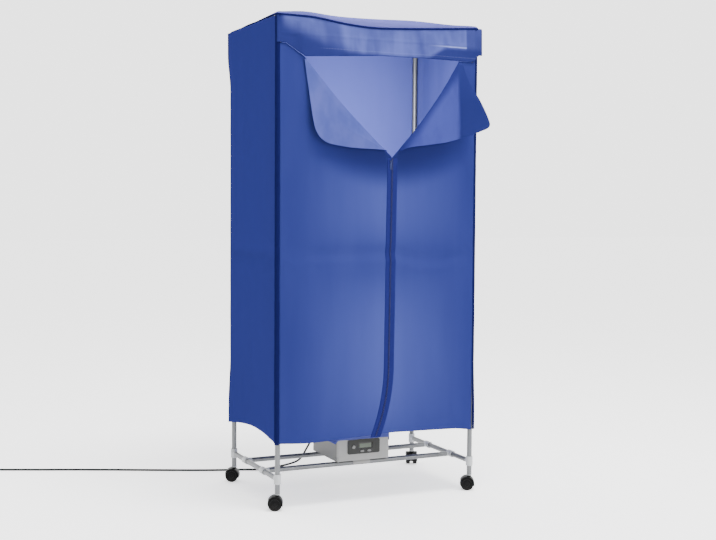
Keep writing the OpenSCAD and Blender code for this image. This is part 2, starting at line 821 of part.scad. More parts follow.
// Upper shell, with openings for the grille, the front panel and the cord
module heater_housing() {
    ledge_in = element_w / 2 - 4;
    color(shell_light) difference() {
        union() {
            linear_extrude_between(shell_z, unit_top) difference() {
                rounded_rect(unit_w, unit_d, unit_r);
                rounded_rect(unit_w - 2 * unit_wall, unit_d - 2 * unit_wall,
                    unit_r - unit_wall);
            }
            linear_extrude_between(unit_top - unit_wall, unit_top)
                rounded_rect(unit_w - unit_wall, unit_d - unit_wall, unit_r - unit_wall / 2);
            at_screws() linear_extrude_between(shell_z, shell_z + 22) circle(5);
            for (sx = [-1, 1]) linear_extrude_between(ledge_z - 4, ledge_z)
                translate([sx * (unit_w / 2 - unit_wall / 2 + ledge_in) / 2, 0])
                    square([unit_w / 2 - unit_wall / 2 - ledge_in, element_w], center = true);
        }
        linear_extrude_between(unit_top - unit_wall - 1, unit_top + 1) circle(grille_r - 5);
        linear_extrude_between(unit_top - 1.2, unit_top + 1) circle(grille_r);
        translate([0, -unit_d / 2, panel_z])
            cube([panel_w - 8, 4 * unit_wall, panel_h - 6], center = true);
        translate([exit_x, unit_d / 2 - 2 * unit_wall, exit_z])
            rotate([-90, 0, 0]) cylinder(r = 5.05, h = 4 * unit_wall);
        at_screws() linear_extrude_between(shell_z - 1, shell_z + 16) circle(1.5 + press_gap);
    }
}

module housing_screws() {
    color("Silver") at_screws() {
        linear_extrude_between(unit_z - 2, unit_z) circle(3.5);
        linear_extrude_between(unit_z, shell_z + 14) circle(1.5);
    }
}

module outlet_grille() {
    rim = grille_r - 4;
    rings = [16, 28, 40, 52];
    color(shell_dark) linear_extrude_between(unit_top - 1.2, unit_top + 1.8) {
        difference() {
            circle(grille_r - 2 * fit);
            circle(rim - 2);
        }
        for (r = rings) difference() {
            circle(r + 1.5);
            circle(r - 1.5);
        }
        circle(6);
        for (a = [0:45:315]) rotate(a) translate([4, -1.25]) square([rim - 4, 2.5]);
    }
}

module fan_motor() {
    color("Silver") difference() {
        linear_extrude_between(unit_z + unit_wall, unit_z + unit_wall + motor_h)
            circle(motor_r);
        linear_extrude_between(fan_z - 2 - 22, fan_z) circle(shaft_r + fit);
    }
}

module fan_impeller() {
    hub_r = 16;
    color(shell_dark) {
        linear_extrude_between(fan_z, fan_z + fan_h) circle(hub_r);
        linear_extrude_between(fan_z - 20, fan_z + 1) circle(shaft_r);
        intersection() {
            for (i = [0:fan_blades - 1]) rotate([0, 0, 360 * i / fan_blades])
                translate([fan_r / 2 + 6, 0, fan_z + fan_h / 2]) rotate([38, 0, 0])
                    cube([fan_r + 4, 32, 1.8], center = true);
            linear_extrude_between(fan_z + 1, fan_z + fan_h - 1) circle(fan_r);
        }
    }
}

// Ceramic heating block: a frame with upright fins
module heating_element() {
    wall = 6;
    pitch = 8;
    inner = element_w - 2 * wall;
    color("Silver")
        linear_extrude_between(ledge_z, ledge_z + element_h) {
            difference() {
                square(element_w, center = true);
                square(inner, center = true);
            }
            for (x = [-inner / 2 + pitch / 2:pitch:inner / 2])
                translate([x, 0]) square([1.6, inner + 1], center = true);
        }
}

module front_fascia() {
    color(shell_dark) {
        translate([0, -unit_d / 2, panel_z]) rotate([90, 0, 0]) linear_extrude(panel_t)
            difference() {
                rounded_rect(panel_w, panel_h, 5);
                translate([window_x, window_z - panel_z])
                    square([window_w, window_h], center = true);
                for (b = [power_place, timer_place, mode_place])
                    button_outline(b, seat_gap);
            }
        // Standoffs that hold the board
        for (sx = [-1, 1], sz = [-1, 1])
            translate([sx * (panel_w / 2 - 8), -unit_d / 2, panel_z + sz * (panel_h / 2 - 7)])
                rotate([-90, 0, 0]) cylinder(r = 2.5, h = board_gap);
    }
}

// Rounded outline of a button, in the panel's plane
module button_outline(b, grow) {
    translate([b[0], b[1] - panel_z])
        rounded_rect(b[2] + 2 * grow, b[3] + 2 * grow, b[3] / 2 + grow - 0.01);
}

module display_window() {
    color([0.42, 0.47, 0.4])
        translate([window_x, -unit_d / 2, window_z]) rotate([-90, 0, 0])
            linear_extrude(board_gap) square([window_w + 4, window_h + 4], center = true);
}

module control_board() {
    color("SeaGreen")
        translate([0, -unit_d / 2 + board_gap, panel_z]) rotate([-90, 0, 0])
            linear_extrude(board_t) square([panel_w - 11, panel_h - 9], center = true);
}

// Push button: a cap through the front panel, and a flange behind it
module button(b) {
    color([0.55, 0.55, 0.54]) translate([0, -unit_d / 2, panel_z])
        rotate([90, 0, 0]) {
            linear_extrude(panel_t + press + 0.3) button_outline(b, 0);
            translate([0, 0, -1 - fit]) linear_extrude(1) button_outline(b, 1.2);
            translate([0, 0, -1]) linear_extrude(2) button_outline(b, -1.2);
        }
}

module power_button() button(power_place);
module timer_button() button(timer_place);
module mode_button() button(mode_place);

// ---- Cord ----

module strain_relief() {
    color("DimGray") translate([exit_x, unit_d / 2, exit_z])
        rotate([-90, 0, 0]) {
            translate([0, 0, -unit_wall - 2]) cylinder(r = 6.5, h = 2 - fit);
            translate([0, 0, -unit_wall - 2]) cylinder(r = 5, h = unit_wall + 3);
            cylinder(r = 7, h = 2);
            translate([0, 0, 2]) cylinder(r1 = 5.8, r2 = cord_r + 0.4, h = relief_l - 2);
        }
}

coil_at = function(turn) let (
    a = coil_start + 360 * turn,
    turn_in = 1.25,
    r = coil_r - coil_pitch * (turn_in - abs(turn - turn_in)),
    z = cord_r + coil_pitch * ease((turn - 1) / 0.5))
    [coil_centre[0] + r * cos(a), coil_centre[1] + r * sin(a), z];
coil_heading = [-sin(coil_start), cos(coil_start), 0];
coil_end_turn = coil_start + 360 * coil_turns;
tail_heading = [-sin(coil_end_turn), cos(coil_end_turn), 0];
coil_enter = coil_at(0) - lead_l * coil_heading;
coil_leave = coil_at(coil_turns);
plug_point = [coil_leave[0], coil_leave[1], plug_axis] + tail_l * tail_heading;
function tail_point(t) = coil_leave + t * tail_l * tail_heading
    + [0, 0, (plug_axis - coil_leave[2]) * ease((t - 0.1) / 0.65)];
coil_path = concat(
    [coil_enter, coil_enter + 0.5 * lead_l * coil_heading],
    [for (k = [0:coil_steps * coil_turns]) coil_at(k / coil_steps)],
    [for (t = [0.2:0.2:1.01]) tail_point(t)]);
lead_path = concat(smooth_path(route, 3), [coil_enter - 3 * coil_heading, coil_enter]);

// Length of a path, and least gap between stretches of the cord
function path_length(p, i = 1) = i >= len(p) ? 0 : norm(p[i] - p[i - 1]) + path_length(p, i + 1);
function least_gap(p, skip) = min([for (i = [0:len(p) - 1], j = [i + skip:1:len(p) - 1])
    norm(p[i] - p[j])]) - cord_d;
echo(cord_length = path_length(lead_path) + path_length(coil_path));
echo(coil_gap = least_gap(coil_path, coil_steps / 3), rings = len(lead_path));
echo(plug = plug_point, turned = coil_end_turn + 90);

module power_cord() color("DimGray")
    swept_tube(lead_path, cord_r, 8, [1, 0.3, 0.2]);
module cord_coil() color("DimGray")
    swept_tube(coil_path, cord_r, 6, [0, 0, 1]);

// Two-pin plug lying beside the coil
module mains_plug() {
    grip_l = 26;
    body_l = 40;
    pin_l = 19;
    pin_r = 2.4;
    color("DimGray") translate(plug_point)
        rotate([0, 0, coil_end_turn + 90]) rotate([0, 90, 0]) {
            cylinder(r1 = cord_r + 0.4, r2 = 6.5, h = grip_l);
            translate([0, 0, grip_l]) intersection() {
                rounded_box(24, 36, body_l, 8);
                cylinder(r1 = 11, r2 = 22, h = body_l);
            }
            for (s = [-1, 1]) translate([0, s * 9.5, grip_l + body_l - 1]) {
                cylinder(r = pin_r, h = pin_l + 1 - pin_r);
                translate([0, 0, pin_l + 1 - pin_r]) sphere(pin_r);
            }
        }
}

lower_posts();
upper_posts();
base_side_bars();
base_cross_bars();
tee_connectors();
mid_connectors();
mid_side_bars();
mid_long_bars();
top_connectors();
top_side_bars();
top_long_bars();
hanging_rail();
rail_brackets();
caster_sockets();
caster_hood_front_left();
caster_hood_front_right();
caster_hood_rear_left();
caster_hood_rear_right();
caster_pins_front_left();
caster_pins_front_right();
caster_pins_rear_left();
caster_pins_rear_right();
caster_wheels_front_left();
caster_wheels_front_right();
caster_wheels_rear_left();
caster_wheels_rear_right();
cover_left_panel();
cover_right_panel();
cover_back_panel();
cover_roof();
cover_floor();
header_flap();
corner_piping();
front_panel_left();
front_panel_right();
lapel_left();
lapel_right();
zip_tape_left();
zip_tape_right();
zip_slider();
zip_pull();
saddle_clips();
heater_base();
heater_housing();
housing_screws();
outlet_grille();
fan_motor();
fan_impeller();
heating_element();
front_fascia();
display_window();
control_board();
power_button();
timer_button();
mode_button();
strain_relief();
power_cord();
cord_coil();
mains_plug();
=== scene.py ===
"""Dresses the portable drying cabinet: cloth cover, zip, tube frame, casters, heater and mains lead."""

import math

import bmesh
import bpy
import numpy as np
from mathutils import Matrix, Vector


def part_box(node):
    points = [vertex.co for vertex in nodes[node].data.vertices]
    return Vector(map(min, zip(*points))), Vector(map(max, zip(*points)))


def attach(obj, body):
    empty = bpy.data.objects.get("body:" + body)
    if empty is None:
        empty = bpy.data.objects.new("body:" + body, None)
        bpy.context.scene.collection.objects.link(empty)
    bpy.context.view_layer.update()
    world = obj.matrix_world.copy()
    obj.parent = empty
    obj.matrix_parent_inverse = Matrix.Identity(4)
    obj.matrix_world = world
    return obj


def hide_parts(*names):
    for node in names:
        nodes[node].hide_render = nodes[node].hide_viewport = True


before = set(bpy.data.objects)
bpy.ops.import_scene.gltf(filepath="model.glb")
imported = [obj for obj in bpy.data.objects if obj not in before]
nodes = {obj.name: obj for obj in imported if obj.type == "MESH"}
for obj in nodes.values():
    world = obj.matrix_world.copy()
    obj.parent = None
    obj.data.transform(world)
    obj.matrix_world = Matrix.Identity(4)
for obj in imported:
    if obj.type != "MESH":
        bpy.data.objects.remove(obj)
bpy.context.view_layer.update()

# ---- Sizes, in metres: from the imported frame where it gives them, else as in the part's source ----

TUBE_R = 0.008
CLOTH_R = TUBE_R + 0.0017  # from a tube's middle to the cloth's outer face
post_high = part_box("upper_posts")[1]
POST_X = post_high.x - TUBE_R
POST_Y = post_high.y - TUBE_R
SIDE = POST_X + CLOTH_R
FACE = POST_Y + CLOTH_R
BAR_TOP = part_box("top_side_bars")[1].z - TUBE_R
BAR_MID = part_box("mid_side_bars")[1].z - TUBE_R
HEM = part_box("corner_piping")[0].z - 0.007  # the cloth hangs a little below the strips' ends
HEM_ARCH = 0.024
HEADER_LOW = BAR_TOP - 0.101
DOOR_TOP = HEADER_LOW - 0.0010
APEX = BAR_TOP - 0.412
ZIP_X = 0.0385
ZIP_LEAN = 0.010
ZIP_SWEEP = 0.042
SWEEP_TOP = 0.420
EDGE_GAP = 0.0003
TAPE_W = 0.017
LAPEL_FOOT = 0.018
FOLD_END = {-1: -0.257, 1: 0.272}
FRONT = {-1: "front_left", 1: "front_right"}
FOLD_BOW = 0.014
RIGHT_CREASE = 0.262

# Mains lead: its route along the floor, as in the part's source
LEAD_D = 0.007
LEAD_R = LEAD_D / 2
ROUTE = [
    (-0.060, 0.1405, 0.135), (-0.060, 0.150, 0.135), (-0.062, 0.168, 0.130), (-0.066, 0.190, 0.114),
    (-0.072, 0.210, 0.088), (-0.080, 0.228, 0.060), (-0.090, 0.243, 0.042), (-0.107, 0.257, 0.031),
    (-0.132, 0.273, 0.022), (-0.160, 0.289, 0.014), (-0.187, 0.304, 0.008), (-0.214, 0.320, 0.0045),
    (-0.241, 0.336, 0.0035), (-0.283, 0.351, 0.0035), (-0.325, 0.364, 0.0035), (-0.380, 0.384, 0.0035),
    (-0.440, 0.409, 0.0035), (-0.510, 0.440, 0.0035), (-0.580, 0.472, 0.0035), (-0.655, 0.507, 0.0035),
    (-0.730, 0.540, 0.0035), (-0.810, 0.575, 0.0035), (-0.890, 0.608, 0.0035), (-0.965, 0.640, 0.0035),
    (-1.020, 0.6632, 0.0035), (-1.052, 0.6766, 0.0035),
]
COIL_CENTRE = (-1.093, 0.648)
COIL_START = 67
COIL_R = 0.042
COIL_PITCH = 0.0076
COIL_TURNS = 2.25
PLUG_AXIS = 0.0121
TAIL = 0.034


def lerp(a, b, t):
    return a + (b - a) * t


def ease(t):
    t = np.clip(t, 0, 1)
    return t * t * (3 - 2 * t)


def spline(points, steps):
    """Smooth curve through points, with that many steps to each stretch."""
    p = [np.array(points[0], float)] + [np.array(q, float) for q in points] + [np.array(points[-1], float)]
    curve = []
    for a, b, c, d in zip(p, p[1:], p[2:], p[3:]):
        for k in range(steps):
            t = k / steps
            curve.append(
                0.5 * (2 * b + (c - a) * t + (2 * a - 5 * b + 4 * c - d) * t**2
                       + (3 * b - a - 3 * c + d) * t**3)
            )
    return curve + [p[-1]]


# ---- Shader helpers ----


class Value:
    """A number or colour socket in a finish, so that shader sums read as Python."""

    def __init__(self, finish, socket):
        self.finish = finish
        self.socket = socket

    def sum(self, operation, *others):
        node = self.finish.node("ShaderNodeMath", {"operation": operation}, [self, *others])
        return node.value()

    def __add__(self, other):
        return self.sum("ADD", other)

    __radd__ = __add__

    def __mul__(self, other):
        return self.sum("MULTIPLY", other)

    __rmul__ = __mul__

    def __sub__(self, other):
        return self.sum("SUBTRACT", other)

    def __rsub__(self, other):
        return (self * -1) + other

    def __truediv__(self, other):
        return self.sum("DIVIDE", other)

    def above(self, edge, soft=0.001):
        """1 where the value is above edge, 0 below, with a soft step between."""
        node = self.finish.node(
            "ShaderNodeMapRange",
            {"interpolation_type": "SMOOTHSTEP"},
            {"Value": self, "From Min": edge - soft, "From Max": edge + soft},
        )
        return node.value()

    def below(self, edge, soft=0.001):
        return 1 - self.above(edge, soft)

    def absolute(self):
        return self.sum("ABSOLUTE")

    def power(self, exponent):
        return self.sum("POWER", exponent)

    def sine(self):
        return self.sum("SINE")


class Node:
    """A shader node that belongs to a finish."""

    def __init__(self, finish, raw):
        self.finish = finish
        self.raw = raw

    def value(self, name=0):
        return Value(self.finish, self.raw.outputs[name])


class Finish:
    """One procedural material, built on a Principled shader."""

    def __init__(self, name):
        self.material = bpy.data.materials.new(name)
        self.material.use_nodes = True
        self.tree = self.material.node_tree
        self.tree.nodes.clear()

    def node(self, kind, settings=None, inputs=None):
        raw = self.tree.nodes.new(kind)
        for key, setting in (settings or {}).items():
            setattr(raw, key, setting)
        pairs = inputs.items() if isinstance(inputs, dict) else enumerate(inputs or [])
        for key, given in pairs:
            if isinstance(given, Value):
                self.tree.links.new(given.socket, raw.inputs[key])
            else:
                raw.inputs[key].default_value = given
        return Node(self, raw)

    def place(self, scale=(1, 1, 1)):
        """The point on the piece, in the cabinet's own frame, in metres."""
        coordinates = self.node("ShaderNodeTexCoord").value("Object")
        if scale == (1, 1, 1):
            return coordinates
        return self.node("ShaderNodeMapping", {}, {"Vector": coordinates, "Scale": scale}).value()

    def axes(self):
        split = self.node("ShaderNodeSeparateXYZ", {}, {"Vector": self.place()})
        return split.value("X"), split.value("Y"), split.value("Z")

    def noise(self, scale, detail=3, stretch=(1, 1, 1), roughness=0.5):
        node = self.node(
            "ShaderNodeTexNoise",
            {},
            {"Vector": self.place(stretch), "Scale": scale, "Detail": detail, "Roughness": roughness},
        )
        return node.value("Fac")

    def mix(self, share, low, high):
        """Colour that goes from low to high with share."""
        node = self.node(
            "ShaderNodeMix",
            {"data_type": "RGBA"},
            {"Factor": share, 6: self.colour(low), 7: self.colour(high)},
        )
        return Value(self, node.raw.outputs[2])

    @staticmethod
    def colour(given):
        return given if isinstance(given, Value) else (*given, 1)

    def bump(self, height, distance, strength=1.0, under=None):
        inputs = {"Height": height, "Distance": distance, "Strength": strength}
        if under is not None:
            inputs["Normal"] = under
        return self.node("ShaderNodeBump", {}, inputs).value()

    def surface(self, colour, roughness, normal=None, see_through=None, **fixed):
        """Ends the finish. see_through is the share of light that passes, and its colour."""
        inputs = {"Base Color": self.colour(colour), "Roughness": roughness}
        if normal is not None:
            inputs["Normal"] = normal
        for key, given in fixed.items():
            inputs[key.replace("_", " ")] = given
        shader = self.node("ShaderNodeBsdfPrincipled", {}, inputs).value()
        if see_through is not None:
            share, tint = see_through
            passed = self.node("ShaderNodeBsdfTranslucent", {}, {"Color": self.colour(tint)}).value()
            shader = self.node("ShaderNodeMixShader", {}, {0: share, 1: shader, 2: passed}).value()
        self.node("ShaderNodeOutputMaterial", {}, {"Surface": shader})
        return self.material


# ---- Finishes: colours are the share of light that a surface sends back, red, green and blue ----


def weave(finish, thread=0.0009):
    """Height of a plain weave: threads that go over and under in turn."""
    x, y, z = finish.axes()
    turn = 2 * math.pi / thread
    across = ((x + y) * turn).sine()
    along = (z * turn).sine()
    return across * along


def cloth_finish(name, deep, pale, through, lift=None):
    """Thin coated nylon. lift(finish) gives the painted light and painted shade at a place: how much paler it
    is, and the share of the painted shade colour SHADED.
    """
    f = Finish(name)
    streak = f.noise(26.0, 3, (1, 1, 0.12))
    tone = f.noise(4.0, 2, (1, 1, 0.6)) * 0.22 + streak * 0.22
    if lift:
        more, shade = lift(f)
        # painted light makes it paler, and painted shade mixes in SHADED
        colour = f.mix(shade, f.mix(tone + more - 0.14, deep, pale), SHADED)
    else:
        colour = f.mix(tone + 0.12, deep, pale)
    return f.surface(colour, 0.55 + streak * 0.15, soft_cloth(f), through, Specular_IOR_Level=0.0)


def soft_cloth(f, height=0.0016):
    """The weave, and the soft crumple of thin cloth."""
    return f.bump(f.noise(24.0, 4, (1, 1, 0.45)), height, 0.6, f.bump(weave(f), 0.00010, 0.4))


def front_painted_light_and_shade(f):
    """Painted light and shade on the front: paler towards the zip and between the rings, where more light
    would come through, and a painted shadow below the flaps.
    """
    x, _, z = f.axes()
    right = x.above(0.03, 0.05)
    across = 1 - ((x - 0.030).absolute() / (0.31 - right * 0.03))
    low = 1 - ((z - 0.46) / 0.30).absolute().power(2.2)
    high = 0.80 - ((z - 0.94) / 0.19).absolute().power(2.2)
    between = low.sum("MAXIMUM", high.sum("MAXIMUM", 0.30))
    deeper = 1 - ((x - 0.035).absolute() / 0.26).power(2.0)
    # painted shadow below the flaps
    shade = z.above(1.100 - deeper * 0.080, 0.055) * (1 - ((x - 0.035).absolute() / 0.29).power(4.0))
    shade = shade.sum("MAXIMUM", 0.0) * z.below(1.16, 0.05)
    return across.sum("MAXIMUM", 0.0) * between * (1.08 - right * 0.14) - shade * 0.5, shade


def lining_finish(name, pale, steel, past=None):
    """The pale inner side of the cloth, mottled; past is the colour beyond the right flap's crease."""
    f = Finish(name)
    x, _, z = f.axes()
    streak = f.noise(26.0, 3, (1, 1, 0.12))
    patch = f.noise(11.0, 3, (1, 1, 0.6), 0.6).above(0.50, 0.16)
    colour = f.mix(patch * 0.7 + streak * 0.3, steel, pale)
    if past:
        fold = (x - ZIP_X) * 0.797 - (z - APEX) * 0.605
        colour = f.mix(fold.above(0.022, 0.014), FOLD_SHADE, colour)
        colour = f.mix(x.above(RIGHT_CREASE + 0.004, 0.004), colour, past)
    return f.surface(colour, 0.55 + streak * 0.1, soft_cloth(f), FLAP_THROUGH, Specular_IOR_Level=0.0)


def flap_back_finish():
    """The back of the right flap: the cover's blue, and the lining beyond its crease."""
    f = Finish("right_flap_back")
    x, _, _ = f.axes()
    streak = f.noise(26.0, 3, (1, 1, 0.12))
    colour = f.mix(x.above(RIGHT_CREASE + 0.004, 0.004), f.mix(streak, DEEP, COVER), f.mix(streak, *LINING))
    return f.surface(colour, 0.55 + streak * 0.1, soft_cloth(f), FLAP_THROUGH, Specular_IOR_Level=0.0)


HEADER_PAINTED_FOLD_SHADE = [  # painted shade in the header's folds: place across, half width, how dark
    (-0.155, 0.030, 0.58),
    (-0.020, 0.004, 0.20),
    (0.140, 0.012, 0.52),
    (0.232, 0.002, 0.3),
]


def header_finish():
    """The header's cloth, with painted light and painted shade: pale and mottled where light comes through,
    and painted shade in its folds, along a diagonal at its left, low on its right and at its right end.
    """
    f = Finish("header_cloth")
    x, _, z = f.axes()
    level = z - HEADER_LOW
    upright = f.noise(34.0, 2, (1, 1, 0.15))
    patch = f.noise(9.0, 3, (1, 1, 0.8), 0.6)
    # pale is painted light; left, right and the right end's factor take it away as painted shade
    left = (x + level * 2.8).above(-0.095, 0.075) * x.above(-0.325, 0.010)
    right = (level - 0.002 - x.above(0.190, 0.045) * 0.037).above(0, 0.009)
    pale = left * right * (1 - x.above(0.2995, 0.004) * 0.72)
    # painted shade in the folds
    for middle, half, depth in HEADER_PAINTED_FOLD_SHADE:
        fold = (x + level * 0.15 - middle).absolute().below(half, 0.014)
        pale = pale * (1 - fold * depth)
    cloud = (patch * 0.6 + upright * 0.4).above(0.50, 0.14)
    pale = pale * (0.60 + cloud * 0.44)
    blue = f.mix(patch, (0.0110, 0.0140, 0.070), (0.0190, 0.0240, 0.118))
    colour = f.mix(pale, blue, (0.066, 0.081, 0.270))
    stitch = (x * (2 * math.pi / 0.005)).sine().above(-0.2, 0.3)
    hem = level.above(0.010, 0.0006) * level.below(0.0122, 0.0006) * x.above(-0.20, 0.02)
    strip_foot = level.above(0.0405, 0.0010) * level.below(0.0450, 0.0010)
    strip_foot = strip_foot * x.above(0.20, 0.05) * x.below(0.2995, 0.003)
    colour = f.mix(hem * stitch * 0.18 + strip_foot * 0.8, colour, (0.17, 0.20, 0.48))
    return f.surface(colour, 0.55, soft_cloth(f, 0.0022), HEADER_THROUGH, Specular_IOR_Level=0.0)


def roof_painted_light_and_shade(f):
    """Painted light and shade on the roof: paler all over, as painted sheen, and painted shade towards its
    two ends.
    """
    x, _, _ = f.axes()
    return 0.26, (x + 0.01).absolute().above(0.19, 0.06) * 0.26


def tape_finish(name, dark, light):
    """Woven navy tape with a fine rib across it."""
    f = Finish(name)
    _, _, z = f.axes()
    rib = (z * (2 * math.pi / 0.0014)).sine()
    colour = f.mix(f.noise(90.0, 2) * 0.8 + rib * 0.12, dark, light)
    normal = f.bump(rib + weave(f, 0.0007) * 0.5, 0.0002, 0.5)
    return f.surface(colour, 0.7, normal, Specular_IOR_Level=0.0)


def paint_finish():
    """Satin silver paint on the round tubes, with faint drawing lines and scuffs."""
    f = Finish("silver_paint")
    streak = f.noise(60.0, 3, (1, 1, 0.04))
    scuff = f.noise(300.0, 2).above(0.68, 0.04)
    colour = f.mix(streak, (0.092, 0.096, 0.101), (0.160, 0.164, 0.169))
    colour = f.mix(scuff * 0.35, colour, (0.11, 0.11, 0.115))
    normal = f.bump(f.noise(900.0, 2), 0.00005, 0.3)
    return f.surface(colour, 0.28 + streak * 0.12, normal, Metallic=0.6)


def plastic_finish(name, dark, light, rough, gloss=0.3, grain=0.00012):
    """Moulded plastic with a fine grain and slight cloudiness."""
    f = Finish(name)
    speck = f.noise(1400.0, 2)
    colour = f.mix(f.noise(35.0, 3), dark, light)
    return f.surface(colour, rough + speck * 0.1, f.bump(speck, grain, 0.6), Specular_IOR_Level=gloss)


def shell_finish():
    """Light grey moulded housing, with painted shade on its two end faces."""
    f = Finish("shell_grey")
    x, _, _ = f.axes()
    speck = f.noise(1400.0, 2)
    # painted shade: both end faces darker
    end = x.absolute().above(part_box("heater_housing")[1].x - 0.0016, 0.0006)
    light = f.mix(f.noise(35.0, 3), (0.205, 0.205, 0.200), (0.240, 0.240, 0.234))
    colour = f.mix(end, light, (0.112, 0.113, 0.108))
    return f.surface(colour, 0.45 + speck * 0.1, f.bump(speck, 0.0002, 0.6), Specular_IOR_Level=0.3)


def metal_finish(name, dark, light, rough, stretch=(1, 1, 1)):
    """Bare or plated metal with fine machining marks."""
    f = Finish(name)
    mark = f.noise(800.0, 3, stretch)
    return f.surface(f.mix(mark, dark, light), rough + mark * 0.12, f.bump(mark, 0.00004, 0.4), Metallic=0.9)


def wheel_finish():
    """Black nylon wheels, dusty and rubbed grey on the tread."""
    f = Finish("caster_wheel_nylon")
    _, _, z = f.axes()
    dust = f.noise(260.0, 4).above(0.5, 0.12) * z.below(0.012, 0.010)
    colour = f.mix(f.noise(60.0, 3), (0.0015, 0.0015, 0.0017), (0.0040, 0.0040, 0.0044))
    colour = f.mix(dust * 0.5, colour, (0.04, 0.038, 0.036))
    normal = f.bump(f.noise(900.0, 2), 0.0001, 0.4)
    return f.surface(colour, 0.5 + dust * 0.3, normal, Specular_IOR_Level=0.10)


def display_finish():
    """Grey-green display behind a clear window with a dark frame."""
    f = Finish("display_glass")
    low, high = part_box("display_window")
    middle = (low + high) / 2
    x, _, z = f.axes()
    across = (x - middle.x).absolute().below(0.0205, 0.0004)
    rise = (z - middle.z + 0.001).absolute().below(0.0068, 0.0004)
    face = f.mix(f.noise(90.0, 2), (0.048, 0.064, 0.044), (0.066, 0.084, 0.058))
    colour = f.mix(across * rise, (0.009, 0.010, 0.009), face)
    return f.surface(colour, 0.12 + across * 0.02, Specular_IOR_Level=0.25, Coat_Weight=0.2)


def board_finish():
    """Green laminate with copper tracks."""
    f = Finish("green_laminate")
    bricks = f.node(
        "ShaderNodeTexBrick", {"offset": 0.5}, {"Vector": f.place(), "Scale": 120.0, "Mortar Size": 0.05}
    )
    track = bricks.value("Fac")
    colour = f.mix(track, (0.006, 0.055, 0.020), (0.015, 0.110, 0.045))
    return f.surface(colour, 0.35 + track * 0.1, f.bump(track, 0.0001, 0.4))


def floor_finish():
    """The studio's floor. It glows a little, so that it meets the bright background without a line."""
    f = Finish("studio_floor")
    pale = f.mix(f.noise(1.5, 2), (0.90, 0.90, 0.90), (0.93, 0.93, 0.93))
    return f.surface(
        pale, 0.6, Specular_IOR_Level=0.0, Emission_Color=(1, 1, 1, 1), Emission_Strength=FLOOR_GLOW
    )


FLOOR_GLOW = 0.9
DEEP = (0.0175, 0.0225, 0.116)
COVER = (0.0215, 0.0265, 0.140)
# SHADED is the colour of painted shade
SHADED = (0.0112, 0.0140, 0.073)
FOLD_SHADE = (0.0150, 0.0190, 0.104)
LINING = (0.056, 0.068, 0.250), (0.084, 0.098, 0.320)
# How much light goes through the cloth, and its colour
THROUGH = (0.12, (0.02, 0.04, 0.28))
FLAP_THROUGH = (0.15, (0.05, 0.07, 0.30))
HEADER_THROUGH = (0.15, (0.04, 0.06, 0.25))
UNDER_THROUGH = (0.06, (0.02, 0.04, 0.28))
ROOF_THROUGH = (0.20, (0.10, 0.14, 0.45))
LINING_THROUGH = (0.25, (0.10, 0.14, 0.45))
FINISH = {
    "cover": cloth_finish("cover_cloth", DEEP, COVER, THROUGH),
    # front: its paler colour is where the painted light is strongest
    "front": cloth_finish("front_cloth", DEEP, (0.0410, 0.0530, 0.207), THROUGH, front_painted_light_and_shade),
    # painted shade: the floor and collar, under the cover, take a darker copy of the cover's cloth
    "under": cloth_finish("floor_cloth_painted_shade", (0.0060, 0.0080, 0.052), (0.0095, 0.0125, 0.074), UNDER_THROUGH),
    # painted sheen: the roof's colours are paler than the cover's, standing in for its sheen under the top
    # light
    "roof": cloth_finish("roof_cloth_painted_sheen", (0.090, 0.095, 0.295), (0.125, 0.130, 0.380), ROOF_THROUGH, roof_painted_light_and_shade),
    "inside": cloth_finish("cover_lining", LINING[0], LINING[1], LINING_THROUGH),
    "left_flap": lining_finish("left_flap_lining", (0.070, 0.081, 0.275), (0.040, 0.053, 0.205)),
    # painted shade: the right flap's lining is a darker copy of the left flap's
    "right_flap": lining_finish("right_flap_lining_painted_shade", (0.041, 0.050, 0.220), (0.028, 0.034, 0.165), DEEP),
    "right_flap_back": flap_back_finish(),
    "header": header_finish(),
    "piping": tape_finish("piping_tape", (0.0042, 0.0050, 0.038), (0.0066, 0.0080, 0.054)),
    "zip_tape": tape_finish("zip_tape_weave", (0.0090, 0.0110, 0.072), (0.0135, 0.0155, 0.096)),
    "zip_coil": plastic_finish("zip_coil_nylon", (0.0045, 0.0060, 0.046), (0.0080, 0.0100, 0.066), 0.35, 0.2),
    "paint": paint_finish(),
    "joints": plastic_finish("connector_grey", (0.330, 0.340, 0.350), (0.400, 0.410, 0.420), 0.38),
    "caster": plastic_finish("caster_black", (0.0015, 0.0015, 0.0018), (0.0040, 0.0040, 0.0044), 0.45, 0.12),
    "wheel": wheel_finish(),
    "pin": metal_finish("pin_steel", (0.20, 0.20, 0.205), (0.34, 0.34, 0.345), 0.25),
    "zip_metal": metal_finish("zip_slider_enamel", (0.012, 0.016, 0.055), (0.024, 0.030, 0.085), 0.30),
    "shell": shell_finish(),
    "dark": plastic_finish("panel_grey", (0.019, 0.0195, 0.018), (0.027, 0.0275, 0.026), 0.5, 0.2, 0.0002),
    "key": plastic_finish("key_grey", (0.120, 0.120, 0.116), (0.150, 0.150, 0.146), 0.3),
    "display": display_finish(),
    "motor": metal_finish("motor_can", (0.17, 0.17, 0.17), (0.28, 0.28, 0.28), 0.3, (1, 1, 0.05)),
    "screw": metal_finish("screw_zinc", (0.20, 0.20, 0.21), (0.32, 0.32, 0.33), 0.3),
    "element": metal_finish("element_fins", (0.22, 0.22, 0.215), (0.36, 0.355, 0.35), 0.4),
    "board": board_finish(),
    "lead": plastic_finish("lead_black", (0.0030, 0.0030, 0.0034), (0.0070, 0.0070, 0.0075), 0.5, 0.2),
    "plug": plastic_finish("plug_black", (0.0030, 0.0030, 0.0034), (0.0065, 0.0065, 0.0070), 0.4, 0.25),
    "tie": plastic_finish("tie_paper", (0.0100, 0.0100, 0.0105), (0.0200, 0.0200, 0.0210), 0.6, 0.2),
}

# ---- Camera and light ----


DIM_SKY = 0.9
BRIGHT_SKY = 2.9


